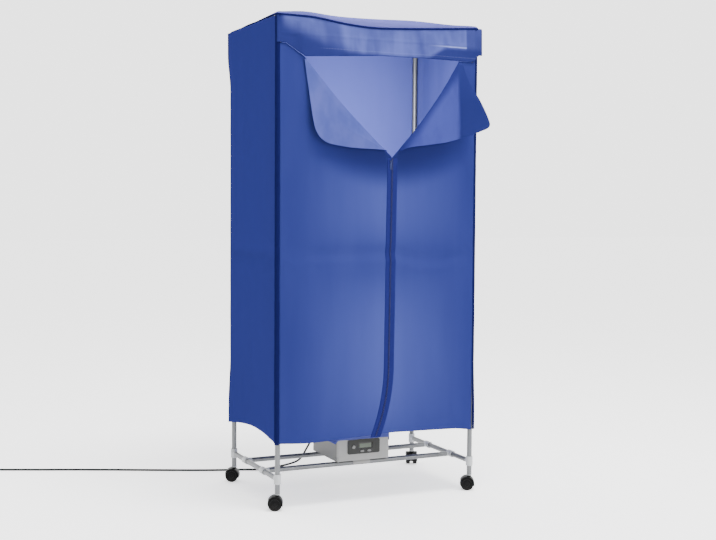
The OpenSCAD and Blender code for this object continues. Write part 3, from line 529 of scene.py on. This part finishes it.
def set_camera():
    """The camera as the photograph was taken: from the left front, at chest height."""
    eye = Vector((-1.5588, -3.4664, 0.9146))
    yaw, pitch, roll = (math.radians(a) for a in (24.544, 2.990, 0.357))
    ahead = Vector((math.sin(yaw) * math.cos(pitch), math.cos(yaw) * math.cos(pitch), -math.sin(pitch)))
    level = Vector((math.cos(yaw), -math.sin(yaw), 0))
    rise = level.cross(ahead)
    right = level * math.cos(roll) + rise * math.sin(roll)
    up = rise * math.cos(roll) - level * math.sin(roll)
    data = bpy.data.cameras.new("photo_camera")
    data.lens = 58.12
    data.clip_end = 60
    camera = bpy.data.objects.new("photo_camera", data)
    rows = Matrix((right, up, -ahead)).transposed()
    camera.matrix_world = Matrix.Translation(eye) @ rows.to_4x4()
    bpy.context.scene.collection.objects.link(camera)
    bpy.context.scene.camera = camera


def soft_light(name, place, aim, size, power):
    data = bpy.data.lights.new(name, "AREA")
    data.shape = "RECTANGLE"
    data.size, data.size_y = size
    data.energy = power
    lamp = bpy.data.objects.new(name, data)
    lamp.location = place
    lamp.rotation_euler = (Vector(aim) - Vector(place)).to_track_quat("-Z", "Y").to_euler()
    bpy.context.scene.collection.objects.link(lamp)


def set_studio():
    """White studio that is brighter behind and to the right, with soft boxes in front, above and inside."""
    world = bpy.data.worlds.new("studio_white")
    world.use_nodes = True
    tree = world.node_tree
    sky = tree.nodes["Background"]
    way = tree.nodes.new("ShaderNodeTexCoord")
    dot = tree.nodes.new("ShaderNodeVectorMath")
    dot.operation = "DOT_PRODUCT"
    dot.inputs[1].default_value = (0.75, 0.66, 0)
    rise = tree.nodes.new("ShaderNodeMapRange")
    rise.interpolation_type = "SMOOTHSTEP"
    for name, number in {"From Min": -0.9, "From Max": 0.3, "To Min": DIM_SKY, "To Max": BRIGHT_SKY}.items():
        rise.inputs[name].default_value = number
    tree.links.new(way.outputs["Generated"], dot.inputs[0])
    tree.links.new(dot.outputs["Value"], rise.inputs["Value"])
    tree.links.new(rise.outputs["Result"], sky.inputs["Strength"])
    sky.inputs["Color"].default_value = (1, 1, 1, 1)
    bpy.context.scene.world = world
    soft_light("front_box", (1.4, -3.4, 2.3), (0.05, 0, 0.75), (1.6, 2.0), 80)
    soft_light("top_box", (0.1, -0.85, 3.7), (0, -0.1, 1.3), (1.2, 0.8), 150)
    soft_light("inside_box", (0.02, -0.188, 1.05), (0.02, 0.2, 1.05), (0.50, 0.80), 17)
    mesh = bpy.data.meshes.new("studio_floor")
    mesh.from_pydata([(-30, -30, 0), (30, -30, 0), (30, 30, 0), (-30, 30, 0)], [], [(0, 1, 2, 3)])
    floor = bpy.data.objects.new("studio_floor", mesh)
    mesh.materials.append(floor_finish())
    bpy.context.scene.collection.objects.link(floor)


# ---- Pieces ----


def add_piece(name, mesh, finishes, body):
    piece = bpy.data.objects.new(name, mesh)
    bpy.context.scene.collection.objects.link(piece)
    for finish in finishes:
        mesh.materials.append(FINISH[finish])
    mesh.polygons.foreach_set("use_smooth", [True] * len(mesh.polygons))
    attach(piece, body)
    return piece


def grid_mesh(name, place, across, up, closed=False):
    """Mesh over a grid of points that place(u, v) gives. Its outer face looks along u x v."""
    u, v = np.meshgrid(np.linspace(0, 1, across + 1), np.linspace(0, 1, up + 1), indexing="ij")
    points = np.stack(np.broadcast_arrays(*place(u, v)), axis=-1)
    if closed:
        points = points[:-1]
    i, j = np.meshgrid(np.arange(across), np.arange(up), indexing="ij")
    here = i * (up + 1) + j
    there = (i + 1) % len(points) * (up + 1) + j
    quads = np.stack([here, there, there + 1, here + 1], axis=-1)
    mesh = bpy.data.meshes.new(name)
    mesh.from_pydata(points.reshape(-1, 3).tolist(), [], quads.reshape(-1, 4).tolist())
    return mesh


def sheet_piece(name, place, across, up, finishes, body, thick=0.0009, closed=False):
    """A sheet of cloth: its outer face has the first finish, and its inner face the second."""
    piece = add_piece(name, grid_mesh(name, place, across, up, closed), finishes, body)
    solid = piece.modifiers.new("cloth_thickness", "SOLIDIFY")
    solid.thickness = thick
    solid.offset = -1
    solid.material_offset = len(finishes) - 1
    solid.material_offset_rim = 0
    return piece


def patches(a, b, seed):
    """Smooth noise from -1 to 1 over a plane, with one bump to each unit."""
    table = np.random.RandomState(seed).uniform(-1, 1, (61, 61))
    i, j = np.floor(a).astype(int), np.floor(b).astype(int)
    s, t = ease(a - i), ease(b - j)
    low = lerp(table[i % 61, j % 61], table[(i + 1) % 61, j % 61], s)
    high = lerp(table[i % 61, (j + 1) % 61], table[(i + 1) % 61, (j + 1) % 61], s)
    return lerp(low, high, t)


def ridge(d, width):
    return np.exp(-((d / width) ** 2))


def puckers(a, b, reach, rays, turn):
    """Small folds that fan out from a point that the cloth is pulled to."""
    r = np.hypot(a, b)
    angle = np.arctan2(b, a)
    return np.exp(-r / reach) * np.clip(r / (0.3 * reach), 0, 1) * np.sin(rays * angle + turn)


def bays(z):
    """How far cloth stands off between the rings: nothing at a bar, and 1 between two."""
    low = (z - HEM) / (BAR_MID - HEM)
    high = (z - BAR_MID) / (BAR_TOP - BAR_MID)
    s = np.clip(np.where(z < BAR_MID, low, high), 0, 1)
    return 1 - np.abs(2 * s - 1) ** 3


def lobe(s):
    s = np.clip(s, 0, 1)
    return 1 - np.abs(2 * s - 1) ** 2.5


# ---- Cover ----


def split_x(z):
    """The zip's middle: nearly upright, and swept aside near the hem."""
    z = np.minimum(z, APEX)
    lean = ZIP_LEAN * (APEX - z) / (APEX - HEM)
    sweep = ZIP_SWEEP * np.maximum(0, (SWEEP_TOP - z) / (SWEEP_TOP - HEM)) ** 2
    return ZIP_X - lean - sweep


def fold_x(z, side):
    """The edge of the open corner on one side."""
    t = (z - APEX) / (DOOR_TOP - APEX)
    return ZIP_X + (FOLD_END[side] - ZIP_X) * t + side * FOLD_BOW * np.sin(np.pi * np.clip(t, 0, 1))


def header_step(x):
    left = np.clip((-x - 0.257) / 0.060, 0, 1)
    right = np.clip((x - POST_X + 0.008) / 0.018, 0, 1)
    sag = np.clip(np.minimum(-x / 0.257, 1 + (x + 0.257) / 0.060), 0, 1)
    return 0.022 * (left + right) - 0.017 * sag


def hem_shift(x):
    """How far the front's hem is above its mean level."""
    marks = [-0.335, -0.27, -0.23, -0.10, 0.036, 0.15, 0.29, 0.335]
    rises = [0.003, -0.001, -0.002, 0.004, 0.011, 0.009, 0.006, -0.004]
    fine = np.linspace(-0.36, 0.36, 73)
    level = np.convolve(np.pad(np.interp(fine, marks, rises), 3, mode="edge"), np.ones(7) / 7, mode="valid")
    return np.interp(x, fine, level)


def front_relief(x, z):
    """How far the front stands out of its plane."""
    c = split_x(z)
    s = np.where(x < c, (x + POST_X) / (c + POST_X), (POST_X - x) / (POST_X - c))
    full = lobe(s)
    out = 0.0055 * bays(z) * full
    ring = BAR_MID + 0.008 - 0.022 * ease((x - 0.03) / 0.12) * np.clip((POST_X - x) / 0.12, 0, 1)
    out = out + 0.0040 * (1 - ridge(z - ring, 0.020)) * np.clip(s * 4, 0, 1)
    out = out + 0.0022 * ridge(z - ring + 0.030, 0.012) * np.clip(s * 3, 0, 1)
    out = out + 0.0012 * patches(x / 0.055 + 3, z / 0.30, 3) * full
    out = out + 0.0007 * patches(x / 0.022, z / 0.09, 5) * full
    for corner in (-POST_X, POST_X):
        out = out + 0.0016 * puckers(x - corner, z - BAR_MID, 0.07, 9, 0.4) * np.clip(s * 6, 0, 1)
        out = out + 0.0016 * puckers(x - corner, z - HEM, 0.08, 8, 1.1) * np.clip(s * 6, 0, 1)
    out = out + 0.0010 * patches(x / 0.11 + 5, z / 0.016, 9) * ease((0.33 - z) / 0.10) * full
    out = out + 0.0008 * ridge(np.abs(x - c) - 0.022, 0.005) * (z < APEX)
    return np.maximum(out, 0)


def front_door(side, name, cad, body):
    low_share = 0.74

    def place(u, v):
        low = lerp(HEM, APEX, v / low_share)
        high = lerp(APEX, DOOR_TOP, (v - low_share) / (1 - low_share))
        h = np.where(v <= low_share, low, high)
        t = np.clip((h - APEX) / (DOOR_TOP - APEX), 0, 1)
        edge = np.where(h < APEX, split_x(h), fold_x(h, side)) + side * EDGE_GAP
        corner = side * (POST_X - EDGE_GAP)
        x = lerp(corner, edge, u) if side < 0 else lerp(edge, corner, u)
        z = h + t * header_step(np.minimum(x, FOLD_END[-1]) if side < 0 else x)
        z = z + hem_shift(x) * np.clip(1 - v / low_share, 0, 1) ** 4
        return x, -(FACE + front_relief(x, z)), z

    piece = sheet_piece(name, place, 56, 150, ("front", "inside"), body)
    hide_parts(cad)
    return piece


def corner_flare(sx, sy, z):
    """How far a corner of the cover stands off its post, across the front."""
    top = ease((z - 1.30) / 0.13)
    foot = ease((0.42 - z) / 0.16)
    if sx < 0 < sy:
        return 0.003 + 0.009 * top + 0.006 * foot
    if sx > 0 > sy:
        return 0.001 + 0.004 * foot
    return 0.0 * z


def side_relief(y, z):
    s = (y + POST_Y) / (2 * POST_Y)
    full = lobe(s)
    out = 0.0045 * bays(z) * full
    out = out + 0.0030 * (1 - ridge(z - BAR_MID - 0.006, 0.022)) * np.clip(s * (1 - s) * 12, 0, 1)
    out = out + 0.0013 * patches(y / 0.06 + 9, z / 0.28, 11) * full
    out = out + 0.0007 * patches(y / 0.022, z / 0.08, 12) * full
    for corner in (-POST_Y, POST_Y):
        out = out + 0.0015 * puckers(y - corner, z - BAR_MID, 0.07, 9, 0.9) * np.clip(s * (1 - s) * 12, 0, 1)
        out = out + 0.0020 * puckers(y - corner, z - HEM, 0.09, 7, 0.2) * np.clip(s * (1 - s) * 12, 0, 1)
    return np.maximum(out, 0)


def side_hem(y):
    """The side's hem: it rises from the rear post, and drops towards the front one."""
    s = np.clip((y + POST_Y) / (2 * POST_Y), 0, 1)
    return HEM + 0.003 * (1 - s) + HEM_ARCH * np.sin(np.pi * s**0.8)


def side_panel(side, name, cad):
    def place(u, v):
        y = lerp(-side * POST_Y, side * POST_Y, u) * np.ones_like(v)
        z = lerp(side_hem(y), BAR_TOP, v)
        rear = np.clip((y + POST_Y) / (2 * POST_Y), 0, 1)
        flare = lerp(corner_flare(side, -1, z), corner_flare(side, 1, z), rear**2)
        return side * (SIDE + side_relief(y, z) + flare), y, z

    piece = sheet_piece(name, place, 52, 150, ("cover", "inside"), "frame")
    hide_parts(cad)
    return piece


def back_panel():
    def place(u, v):
        z = lerp(HEM, BAR_TOP, v)
        x = lerp(POST_X + corner_flare(1, 1, z), -POST_X - corner_flare(-1, 1, z), u)
        full = lobe(u)
        out = 0.0045 * bays(z) * full + 0.0014 * patches(x / 0.07, z / 0.26, 21) * full
        out = out + 0.0008 * patches(x / 0.025, z / 0.09, 22) * full
        return x, FACE + np.maximum(out, 0), z

    piece = sheet_piece("cover_back", place, 80, 150, ("cover", "inside"), "frame")
    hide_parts("cover_back_panel")


def seam_z(x):
    """The roof's front seam: it sags between the corners."""
    marks = [-0.345, -0.273, -0.215, -0.175, -0.126, -0.076, -0.025, 0.061, 0.202, 0.311, 0.345]
    heights = [1.4935, 1.4930, 1.4915, 1.4855, 1.4785, 1.4745, 1.4720, 1.4760, 1.4855, 1.4940, 1.4965]
    fine = np.linspace(-0.36, 0.37, 74)
    level = np.interp(fine, marks, heights)
    level = np.convolve(np.pad(level, 3, mode="edge"), np.ones(7) / 7, mode="valid")
    return np.interp(x, fine, level)


def front_curve(z):
    """Depth of the cloth over the front top bar at a height: upright, then round the bar."""
    rise = np.clip(z - BAR_TOP, 0, CLOTH_R)
    return -(POST_Y + np.sqrt(CLOTH_R**2 - rise**2))


def crown(x):
    """How far the roof's front stands up off the bar."""
    left = ridge(x + 0.25, 0.07)
    middle = ridge(x - 0.12, 0.12)
    right = ridge(x - 0.33, 0.06)
    return 0.0015 + 0.0075 * left + 0.0055 * middle + 0.0040 * right


def roof():
    skirt = 0.16
    back_roll = 0.07

    def place(u, v):
        turn_left = np.clip(1 - u / 0.05, 0, 1) * np.pi * 0.44
        turn_right = np.clip(1 - (1 - u) / 0.05, 0, 1) * np.pi * 0.44
        flat = np.clip((u - 0.05) / 0.90, 0, 1)
        x = lerp(-POST_X, POST_X, flat) + CLOTH_R * (np.sin(turn_right) - np.sin(turn_left))
        drop_side = CLOTH_R * (1 - np.cos(np.maximum(turn_left, turn_right)))
        q = np.clip(v / skirt, 0, 1)
        deep = np.clip((v - skirt) / (1 - skirt - back_roll), 0, 1)
        turn_back = np.clip((v - 1 + back_roll) / back_roll, 0, 1) * np.pi / 2
        top = BAR_TOP + CLOTH_R + crown(x) * (1 - ease(deep / 0.5))
        z_front = lerp(seam_z(x), top, np.sin(q * np.pi / 2))
        y_front = np.minimum(-POST_Y - CLOTH_R * np.cos(q * np.pi / 2), front_curve(z_front))
        y = np.where(v < skirt, y_front, lerp(-POST_Y, POST_Y, deep) + CLOTH_R * np.sin(turn_back))
        fx, fy = 2 * flat - 1, 2 * deep - 1
        dome = 0.016 * (1 - fx**2) * (1 - fy**2)
        wave = 0.0014 * patches(x / 0.06, y / 0.05, 31) * (1 - fx**4) * (1 - fy**4)
        z_flat = top - np.maximum(drop_side, CLOTH_R * (1 - np.cos(turn_back))) + dome + wave
        z = np.where(v < skirt, np.minimum(z_front, top - drop_side), z_flat)
        return x, y, z

    piece = sheet_piece("cover_top", place, 84, 60, ("roof", "inside"), "frame")
    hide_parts("cover_roof")


def header():
    left, right = -SIDE, SIDE + 0.014

    def place(u, v):
        x = lerp(left, right, u)
        z = lerp(HEADER_LOW - 0.0002 + header_step(x), seam_z(x) + 0.001, v)
        out = 0.0006 + front_relief(x, z) * (1 - v) + 0.002 * (1 - v)
        gather = patches(x / 0.019 + 7, z / 0.20, 41) * 0.0016 + patches(x / 0.05, z / 0.05, 42) * 0.0012
        end = np.clip((POST_X - np.abs(x)) / 0.02, 0, 1)
        out = out + (gather + 0.0016) * end * np.clip((1 - v) / 0.14, 0, 1)
        out = out + 0.0014 * ridge(z - HEADER_LOW - 0.049, 0.004) * end
        return x, front_curve(z) - out, z

    piece = sheet_piece("cover_header", place, 120, 26, ("header", "cover"), "frame")
    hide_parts("header_flap")


def outline(points, share):
    """Point at a share of the way along a line of points, from 0 to 1."""
    p = np.array(points, float)
    run = np.concatenate([[0], np.cumsum(np.hypot(*np.diff(p, axis=0).T))])
    at = share * run[-1]
    return np.interp(at, run, p[:, 0]), np.interp(at, run, p[:, 1])


def round_line(points, steps=8):
    return [tuple(q) for q in spline(points, steps)]


LAPEL = {
    # lower edge from the fold to the free corner, then the side edge up to the header
    -1: {
        "low": round_line([(0.018, 1.0965), (0.004, 1.1005), (-0.073, 1.1020), (-0.123, 1.1050),
                           (-0.183, 1.1140), (-0.209, 1.1265)]),
        "high": round_line([(-0.209, 1.1265), (-0.2200, 1.1375), (-0.2330, 1.1600), (-0.2425, 1.2150),
                            (-0.250, 1.2900), (-0.2605, 1.3670)]),
        "corner": 0.48,
    },
    1: {
        "low": round_line([(0.056, 1.0970), (0.082, 1.1075), (0.110, 1.1130), (0.153, 1.1185),
                           (0.185, 1.1235), (0.225, 1.1300), (0.275, 1.1450), (0.328, 1.1710)]),
        "high": round_line([(0.328, 1.1710), (0.3335, 1.1800), (0.3325, 1.1940), (0.3215, 1.2320),
                            (0.303, 1.2850), (0.288, 1.3350), (0.2765, 1.3845)]),
        "corner": 0.54,
    },
}


def lapel_lift(side, x, z, t):
    """How far a lapel stands off the front panel."""
    if side < 0:
        curl = np.clip((-x - 0.175) / 0.060, 0, 1) ** 1.5
        belly = np.clip(t * 2.5, 0, 1) * np.clip((1.30 - z) / 0.14, 0, 1)
        return 0.0030 * t + 0.006 * belly + 0.012 * curl * np.clip((1.30 - z) / 0.17, 0, 1)
    past = np.clip((x - RIGHT_CREASE) / 0.066, 0, None)
    belly = np.clip(t * 2.5, 0, 1) * np.clip((1.33 - z) / 0.14, 0, 1)
    return 0.0070 * t + 0.005 * belly + 0.077 * past * np.clip((1.386 - z) / 0.12, 0, 1) ** 0.7


def lapel(side, name, cad, body):
    shape = LAPEL[side]

    def place(u, v):
        s, t = (u, v) if side < 0 else (v, u)
        s = 0.01 + 0.98 * s
        h = lerp(APEX + LAPEL_FOOT, DOOR_TOP - 0.001, s)
        top = header_step(FOLD_END[side]) * (h - APEX) / (DOOR_TOP - APEX)
        fold = fold_x(h, side) + side * 0.001, h + top
        low = outline(shape["low"], np.clip(s / shape["corner"], 0, 1))
        high = outline(shape["high"], np.clip((s - shape["corner"]) / (1 - shape["corner"]), 0, 1))
        edge = [np.where(s < shape["corner"], a, b) for a, b in zip(low, high)]
        x = lerp(fold[0], edge[0], t)
        z = lerp(fold[1], edge[1], t)
        off = 0.0013 + lapel_lift(side, x, z, t)
        soft = np.clip(t * 6, 0, 1)
        off = off + soft * (0.0016 * patches(x / 0.030 + 2, z / 0.11, 51) + 0.0016)
        off = off + soft * 0.0010 * puckers(x - ZIP_X, z - APEX, 0.10, 11, 0.5)
        return x, -(FACE + front_relief(x, z) + off), z

    finishes = ("left_flap", "cover") if side < 0 else ("right_flap", "right_flap_back")
    piece = sheet_piece(name, place, 64, 64, finishes, body)
    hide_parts(cad)


def collar_floor():
    """The cover's floor, and the collar that hangs from it round the heater."""
    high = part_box("heater_housing")[1]
    half_x, half_y, r = high.x + 0.0014, high.y + 0.0014, 0.0134
    collar_low, level = (corner.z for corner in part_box("cover_floor"))
    side_low = collar_low - 0.013

    def rounded(share, hx, hy, radius):
        """Point at a share of the way round a rounded rectangle, by its direction."""
        angle = share * 2 * np.pi
        dx, dy = np.cos(angle), np.sin(angle)
        reach = np.minimum(hx / np.maximum(np.abs(dx), 1e-9), hy / np.maximum(np.abs(dy), 1e-9))
        x, y = dx * reach, dy * reach
        cx, cy = hx - radius, hy - radius
        over = (np.abs(x) > cx) & (np.abs(y) > cy)
        b = cx * np.abs(dx) + cy * np.abs(dy)
        length = b + np.sqrt(np.maximum(b**2 - cx**2 - cy**2 + radius**2, 0))
        return np.where(over, dx * length, x), np.where(over, dy * length, y)

    def place(u, v):
        t = np.clip(v / 0.5, 0, 1)
        drop = np.clip((v - 0.5) / 0.5, 0, 1)
        xo, yo = rounded(u, SIDE - 0.0022, FACE - 0.0022, 0.050)
        xi, yi = rounded(u, half_x, half_y, r)
        x, y = lerp(xo, xi, t), lerp(yo, yi, t)
        sag = 0.0025 * np.sin(np.pi * t) * (1 + 0.5 * patches(x / 0.06, y / 0.06, 61))
        swell = 0.0008 * drop * (1 + patches(u * 26, v * 3, 62))
        foot = lerp(side_low, collar_low, ease((-yi / half_y - 0.90) / 0.10))
        x, y = x * (1 + swell / 0.1), y * (1 + swell / 0.1)
        return x, y, level - sag - drop * (level - foot)

    piece = sheet_piece(
        "cover_floor_cloth", place, 168, 28, ("under", "inside"), "frame", closed=True
    )
    piece.modifiers["cloth_thickness"].offset = 1
    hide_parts("cover_floor")


def swept(name, path, half_width, half_height, sides, finishes, body, side_vector=(0, 0, 1)):
    """Rounded cord or band that follows a path of points."""
    p = np.array(path, float)
    ahead = np.gradient(p, axis=0)
    ahead /= np.linalg.norm(ahead, axis=1)[:, None]
    a = np.cross(ahead, np.array(side_vector, float))
    a /= np.linalg.norm(a, axis=1)[:, None]
    b = np.cross(a, ahead)
    turn = np.arange(sides) * 2 * np.pi / sides
    rings = p[:, None] + a[:, None] * (half_width * np.cos(turn))[None, :, None]
    rings = rings + b[:, None] * (half_height * np.sin(turn))[None, :, None]
    n = len(p)
    quads = [
        (i * sides + k, i * sides + (k + 1) % sides, (i + 1) * sides + (k + 1) % sides, (i + 1) * sides + k)
        for i in range(n - 1) for k in range(sides)
    ]
    caps = [tuple(range(sides))[::-1], tuple((n - 1) * sides + k for k in range(sides))]
    mesh = bpy.data.meshes.new(name)
    mesh.from_pydata(rings.reshape(-1, 3).tolist(), [], quads + caps)
    return add_piece(name, mesh, finishes, body)


def corner_strips():
    """Navy strips round the four corners, stitched down along both edges."""
    spans = []
    for sx in (-1, 1):
        for sy in (-1, 1):
            def place(u, v, sx=sx, sy=sy):
                turn = lerp(-0.10, math.pi / 2 + 0.10, u if sx * sy < 0 else 1 - u)
                edge = 0.0004 * ridge(u - 0.07, 0.05) + 0.0004 * ridge(u - 0.93, 0.05)
                r = CLOTH_R + 0.0009 - edge + 0.0003 * patches(u * 3, v * 40, 71)
                z = lerp(HEM - 0.001, BAR_TOP + 0.002, v)
                out = POST_X + r * np.sin(turn) + corner_flare(sx, sy, z)
                return sx * out, sy * (POST_Y + r * np.cos(turn)), z

            spans.append(grid_mesh("strip", place, 10, 160))
    mesh = joined("corner_strips", spans)
    piece = add_piece("corner_strips", mesh, ("piping",), "frame")
    solid = piece.modifiers.new("tape_thickness", "SOLIDIFY")
    solid.thickness = 0.0010
    solid.offset = -1
    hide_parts("corner_piping")


def joined(name, meshes):
    whole = bmesh.new()
    for mesh in meshes:
        whole.from_mesh(mesh)
    result = bpy.data.meshes.new(name)
    whole.to_mesh(result)
    whole.free()
    return result


def seam_piping():
    """Piping cord in the roof's seams: along the sagging front, the sides and the back."""
    edge_z = BAR_TOP + 0.0052
    edge_r = 0.0085
    xs = np.linspace(-SIDE + 0.001, SIDE - 0.001, 90)
    front = [(x, front_curve(seam_z(x)) - 0.0016, float(seam_z(x))) for x in xs]
    swept("piping_front", front, 0.0022, 0.0032, 10, ("piping",), "frame")
    for side, name in ((-1, "piping_left"), (1, "piping_right")):
        ys = np.linspace(-FACE + 0.002, FACE - 0.002, 60)
        z = edge_z + 0.0006 * np.sin(ys * 40)
        path = [(side * (POST_X + edge_r), y, h) for y, h in zip(ys, z)]
        swept(name, path, 0.0022, 0.0024, 10, ("piping",), "frame")
    back = [(x, POST_Y + CLOTH_R, BAR_TOP - 0.001) for x in xs]
    swept("piping_back", back, 0.0020, 0.0022, 10, ("piping",), "frame")


# ---- Zip ----


def zip_relief(x, z):
    return FACE + front_relief(x, z)


def zip_side(side, name, cad, body):
    """One tape of the zip, and its row of teeth."""
    top = APEX - 0.003

    def place(u, v):
        z = lerp(HEM, top, v)
        middle = split_x(z)
        inner, outer = middle + side * EDGE_GAP, middle + side * TAPE_W
        x = lerp(outer, inner, u) if side < 0 else lerp(inner, outer, u)
        return x, -(zip_relief(x, z) + 0.0010), z

    tape = sheet_piece(name, place, 6, 170, ("zip_tape",), body, 0.0006)
    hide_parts(cad)
    pitch = 0.0026
    count = int((top - HEM) / pitch) - 1
    whole = bmesh.new()
    for k in range(count):
        z = HEM + 0.004 + pitch * (k + (0.25 if side < 0 else 0.75))
        x = float(split_x(z)) + side * 0.0012
        depth = -(float(zip_relief(np.array(x), np.array(z))) + 0.0017)
        tooth = bmesh.ops.create_cube(whole, size=1.0)["verts"]
        for vert in tooth:
            flare = 1.0 if vert.co.x * side > 0 else 0.75
            spot = (x + vert.co.x * 0.0032, depth + vert.co.y * 0.0013, z + vert.co.z * 0.0016 * flare)
            vert.co = Vector(spot)
    mesh = bpy.data.meshes.new(name + "_teeth")
    whole.to_mesh(mesh)
    whole.free()
    teeth = add_piece(name + "_teeth", mesh, ("zip_coil",), body)
    round_off(teeth, 0.0003, 1)


def round_off(piece, width, segments=2, angle=35):
    """Softens a piece's sharp edges."""
    weld = piece.modifiers.new("weld", "WELD")
    weld.merge_threshold = 0.00001
    bevel = piece.modifiers.new("soft_edge", "BEVEL")
    bevel.width = width
    bevel.segments = segments
    bevel.limit_method = "ANGLE"
    bevel.angle_limit = math.radians(angle)
    bevel.use_clamp_overlap = True
    return piece


# ---- Rigid parts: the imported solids, with their finishes ----

RIGID = {
    "paint": ["lower_posts", "upper_posts", "base_side_bars", "base_cross_bars", "mid_side_bars",
              "mid_long_bars", "top_side_bars", "top_long_bars", "hanging_rail"],
    "joints": ["tee_connectors", "mid_connectors", "top_connectors", "rail_brackets", "caster_sockets"],
    "caster": ["caster_hood_front_left", "caster_hood_front_right", "caster_hood_rear_left",
               "caster_hood_rear_right"],
    "wheel": ["caster_wheels_front_left", "caster_wheels_front_right", "caster_wheels_rear_left",
              "caster_wheels_rear_right"],
    "pin": ["caster_pins_front_left", "caster_pins_front_right", "caster_pins_rear_left",
            "caster_pins_rear_right"],
    "zip_metal": ["zip_slider", "zip_pull"],
    "shell": ["saddle_clips", "heater_base", "heater_housing"],
    "dark": ["outlet_grille", "front_fascia", "fan_impeller"],
    "key": ["power_button", "timer_button", "mode_button"],
    "display": ["display_window"],
    "motor": ["fan_motor"],
    "screw": ["housing_screws"],
    "element": ["heating_element"],
    "board": ["control_board"],
    "lead": ["strain_relief"],
    "plug": ["mains_plug"],
}
SOFT_EDGE = {
    "heater_housing": 0.0020, "heater_base": 0.0012, "front_fascia": 0.0008, "saddle_clips": 0.0006,
    "power_button": 0.0005, "timer_button": 0.0005, "mode_button": 0.0005, "outlet_grille": 0.0005,
    "tee_connectors": 0.0007, "rail_brackets": 0.0008, "mains_plug": 0.0010, "zip_slider": 0.0003,
    "zip_pull": 0.0002, "strain_relief": 0.0004, "caster_sockets": 0.0003,
}


def dress_rigid():
    for finish, names in RIGID.items():
        for name in names:
            part = nodes[name]
            part.data.materials.clear()
            part.data.materials.append(FINISH[finish])
            width = SOFT_EDGE.get(name, 0.0006 if name.startswith("caster_") else 0)
            if width:
                round_off(part, width)


# ---- Mains lead ----


def coil_point(turn):
    """Point on the stored coil: in by one layer, and out again on top of it."""
    angle = math.radians(COIL_START + 360 * turn)
    r = COIL_R - COIL_PITCH * (1.25 - abs(turn - 1.25))
    z = LEAD_R + COIL_PITCH * float(ease((turn - 1) / 0.5))
    return np.array([COIL_CENTRE[0] + r * math.cos(angle), COIL_CENTRE[1] + r * math.sin(angle), z])


def lead_path():
    start, end = math.radians(COIL_START), math.radians(COIL_START + 360 * COIL_TURNS)
    heading = np.array([-math.sin(start), math.cos(start), 0])
    leaving = np.array([-math.sin(end), math.cos(end), 0])
    first, last = coil_point(0), coil_point(COIL_TURNS)
    path = spline(ROUTE, 4)
    path += [first - (0.008 - 0.002 * k) * heading for k in range(4)]
    path += [coil_point(k / 36) for k in range(int(36 * COIL_TURNS) + 1)]
    for k in range(1, 9):
        t = k / 8
        lift = (PLUG_AXIS - last[2]) * float(ease((t - 0.1) / 0.65))
        path.append(last + t * TAIL * leaving + np.array([0, 0, lift]))
    return path


def coil_tie():
    """Flat tie round the coil's two layers, with its twisted ends beside them."""
    turn = 0.55
    low, high = coil_point(turn), coil_point(turn + 1)
    out = (low - [*COIL_CENTRE, low[2]]) / np.linalg.norm(low[:2] - COIL_CENTRE)
    middle = (low + high) / 2
    half_r = abs((high - low) @ out) / 2 + LEAD_R + 0.0004
    half_z = abs(high[2] - low[2]) / 2 + LEAD_R + 0.0003
    ring = []
    for k in range(41):
        a = 2 * math.pi * k / 40
        c, d = math.cos(a), math.sin(a)
        side = out * half_r * math.copysign(abs(c) ** 0.7, c)
        ring.append(middle + side + np.array([0, 0, half_z * math.copysign(abs(d) ** 0.7, d)]))
    ahead = np.cross([0, 0, 1], out)
    start = middle + out * (half_r + 0.0006)
    curl = 0.0016
    ends = [
        start + out * curl * math.sin(k) + ahead * curl * math.cos(k) + out * 0.0012 * k
        for k in range(15)
    ]
    upright = tuple(out * 0.001 + ahead)
    band = swept("coil_tie", ring, 0.0022, 0.0005, 8, ("tie",), "frame", upright)
    twist = swept("coil_tie_ends", ends, 0.0011, 0.0008, 8, ("tie",), "frame")
    return [band, twist]


def mains_lead():
    path = lead_path()
    curve = bpy.data.curves.new("mains_lead", "CURVE")
    curve.dimensions = "3D"
    curve.bevel_depth = LEAD_R
    curve.bevel_resolution = 5
    curve.use_fill_caps = True
    line = curve.splines.new("POLY")
    line.points.add(len(path) - 1)
    for point, place in zip(line.points, path):
        point.co = (*place, 1)
    lead = bpy.data.objects.new("mains_lead", curve)
    bpy.context.scene.collection.objects.link(lead)
    curve.materials.append(FINISH["lead"])
    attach(lead, "frame")
    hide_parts("power_cord", "cord_coil")
    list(coil_tie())


# ---- Making ----

set_camera()
mains_lead()
set_studio()
front_door(-1, FRONT[-1], "front_panel_left", "door_left")
front_door(1, FRONT[1], "front_panel_right", "door_right")
side_panel(-1, "cover_left", "cover_left_panel")
side_panel(1, "cover_right", "cover_right_panel")
back_panel()
roof()
header()
lapel(-1, "lapel_left_cloth", "lapel_left", "left_lapel")
lapel(1, "lapel_right_cloth", "lapel_right", "right_lapel")
collar_floor()
corner_strips()
seam_piping()
zip_side(-1, "zip_left", "zip_tape_left", "door_left")
zip_side(1, "zip_right", "zip_tape_right", "door_right")
dress_rigid()
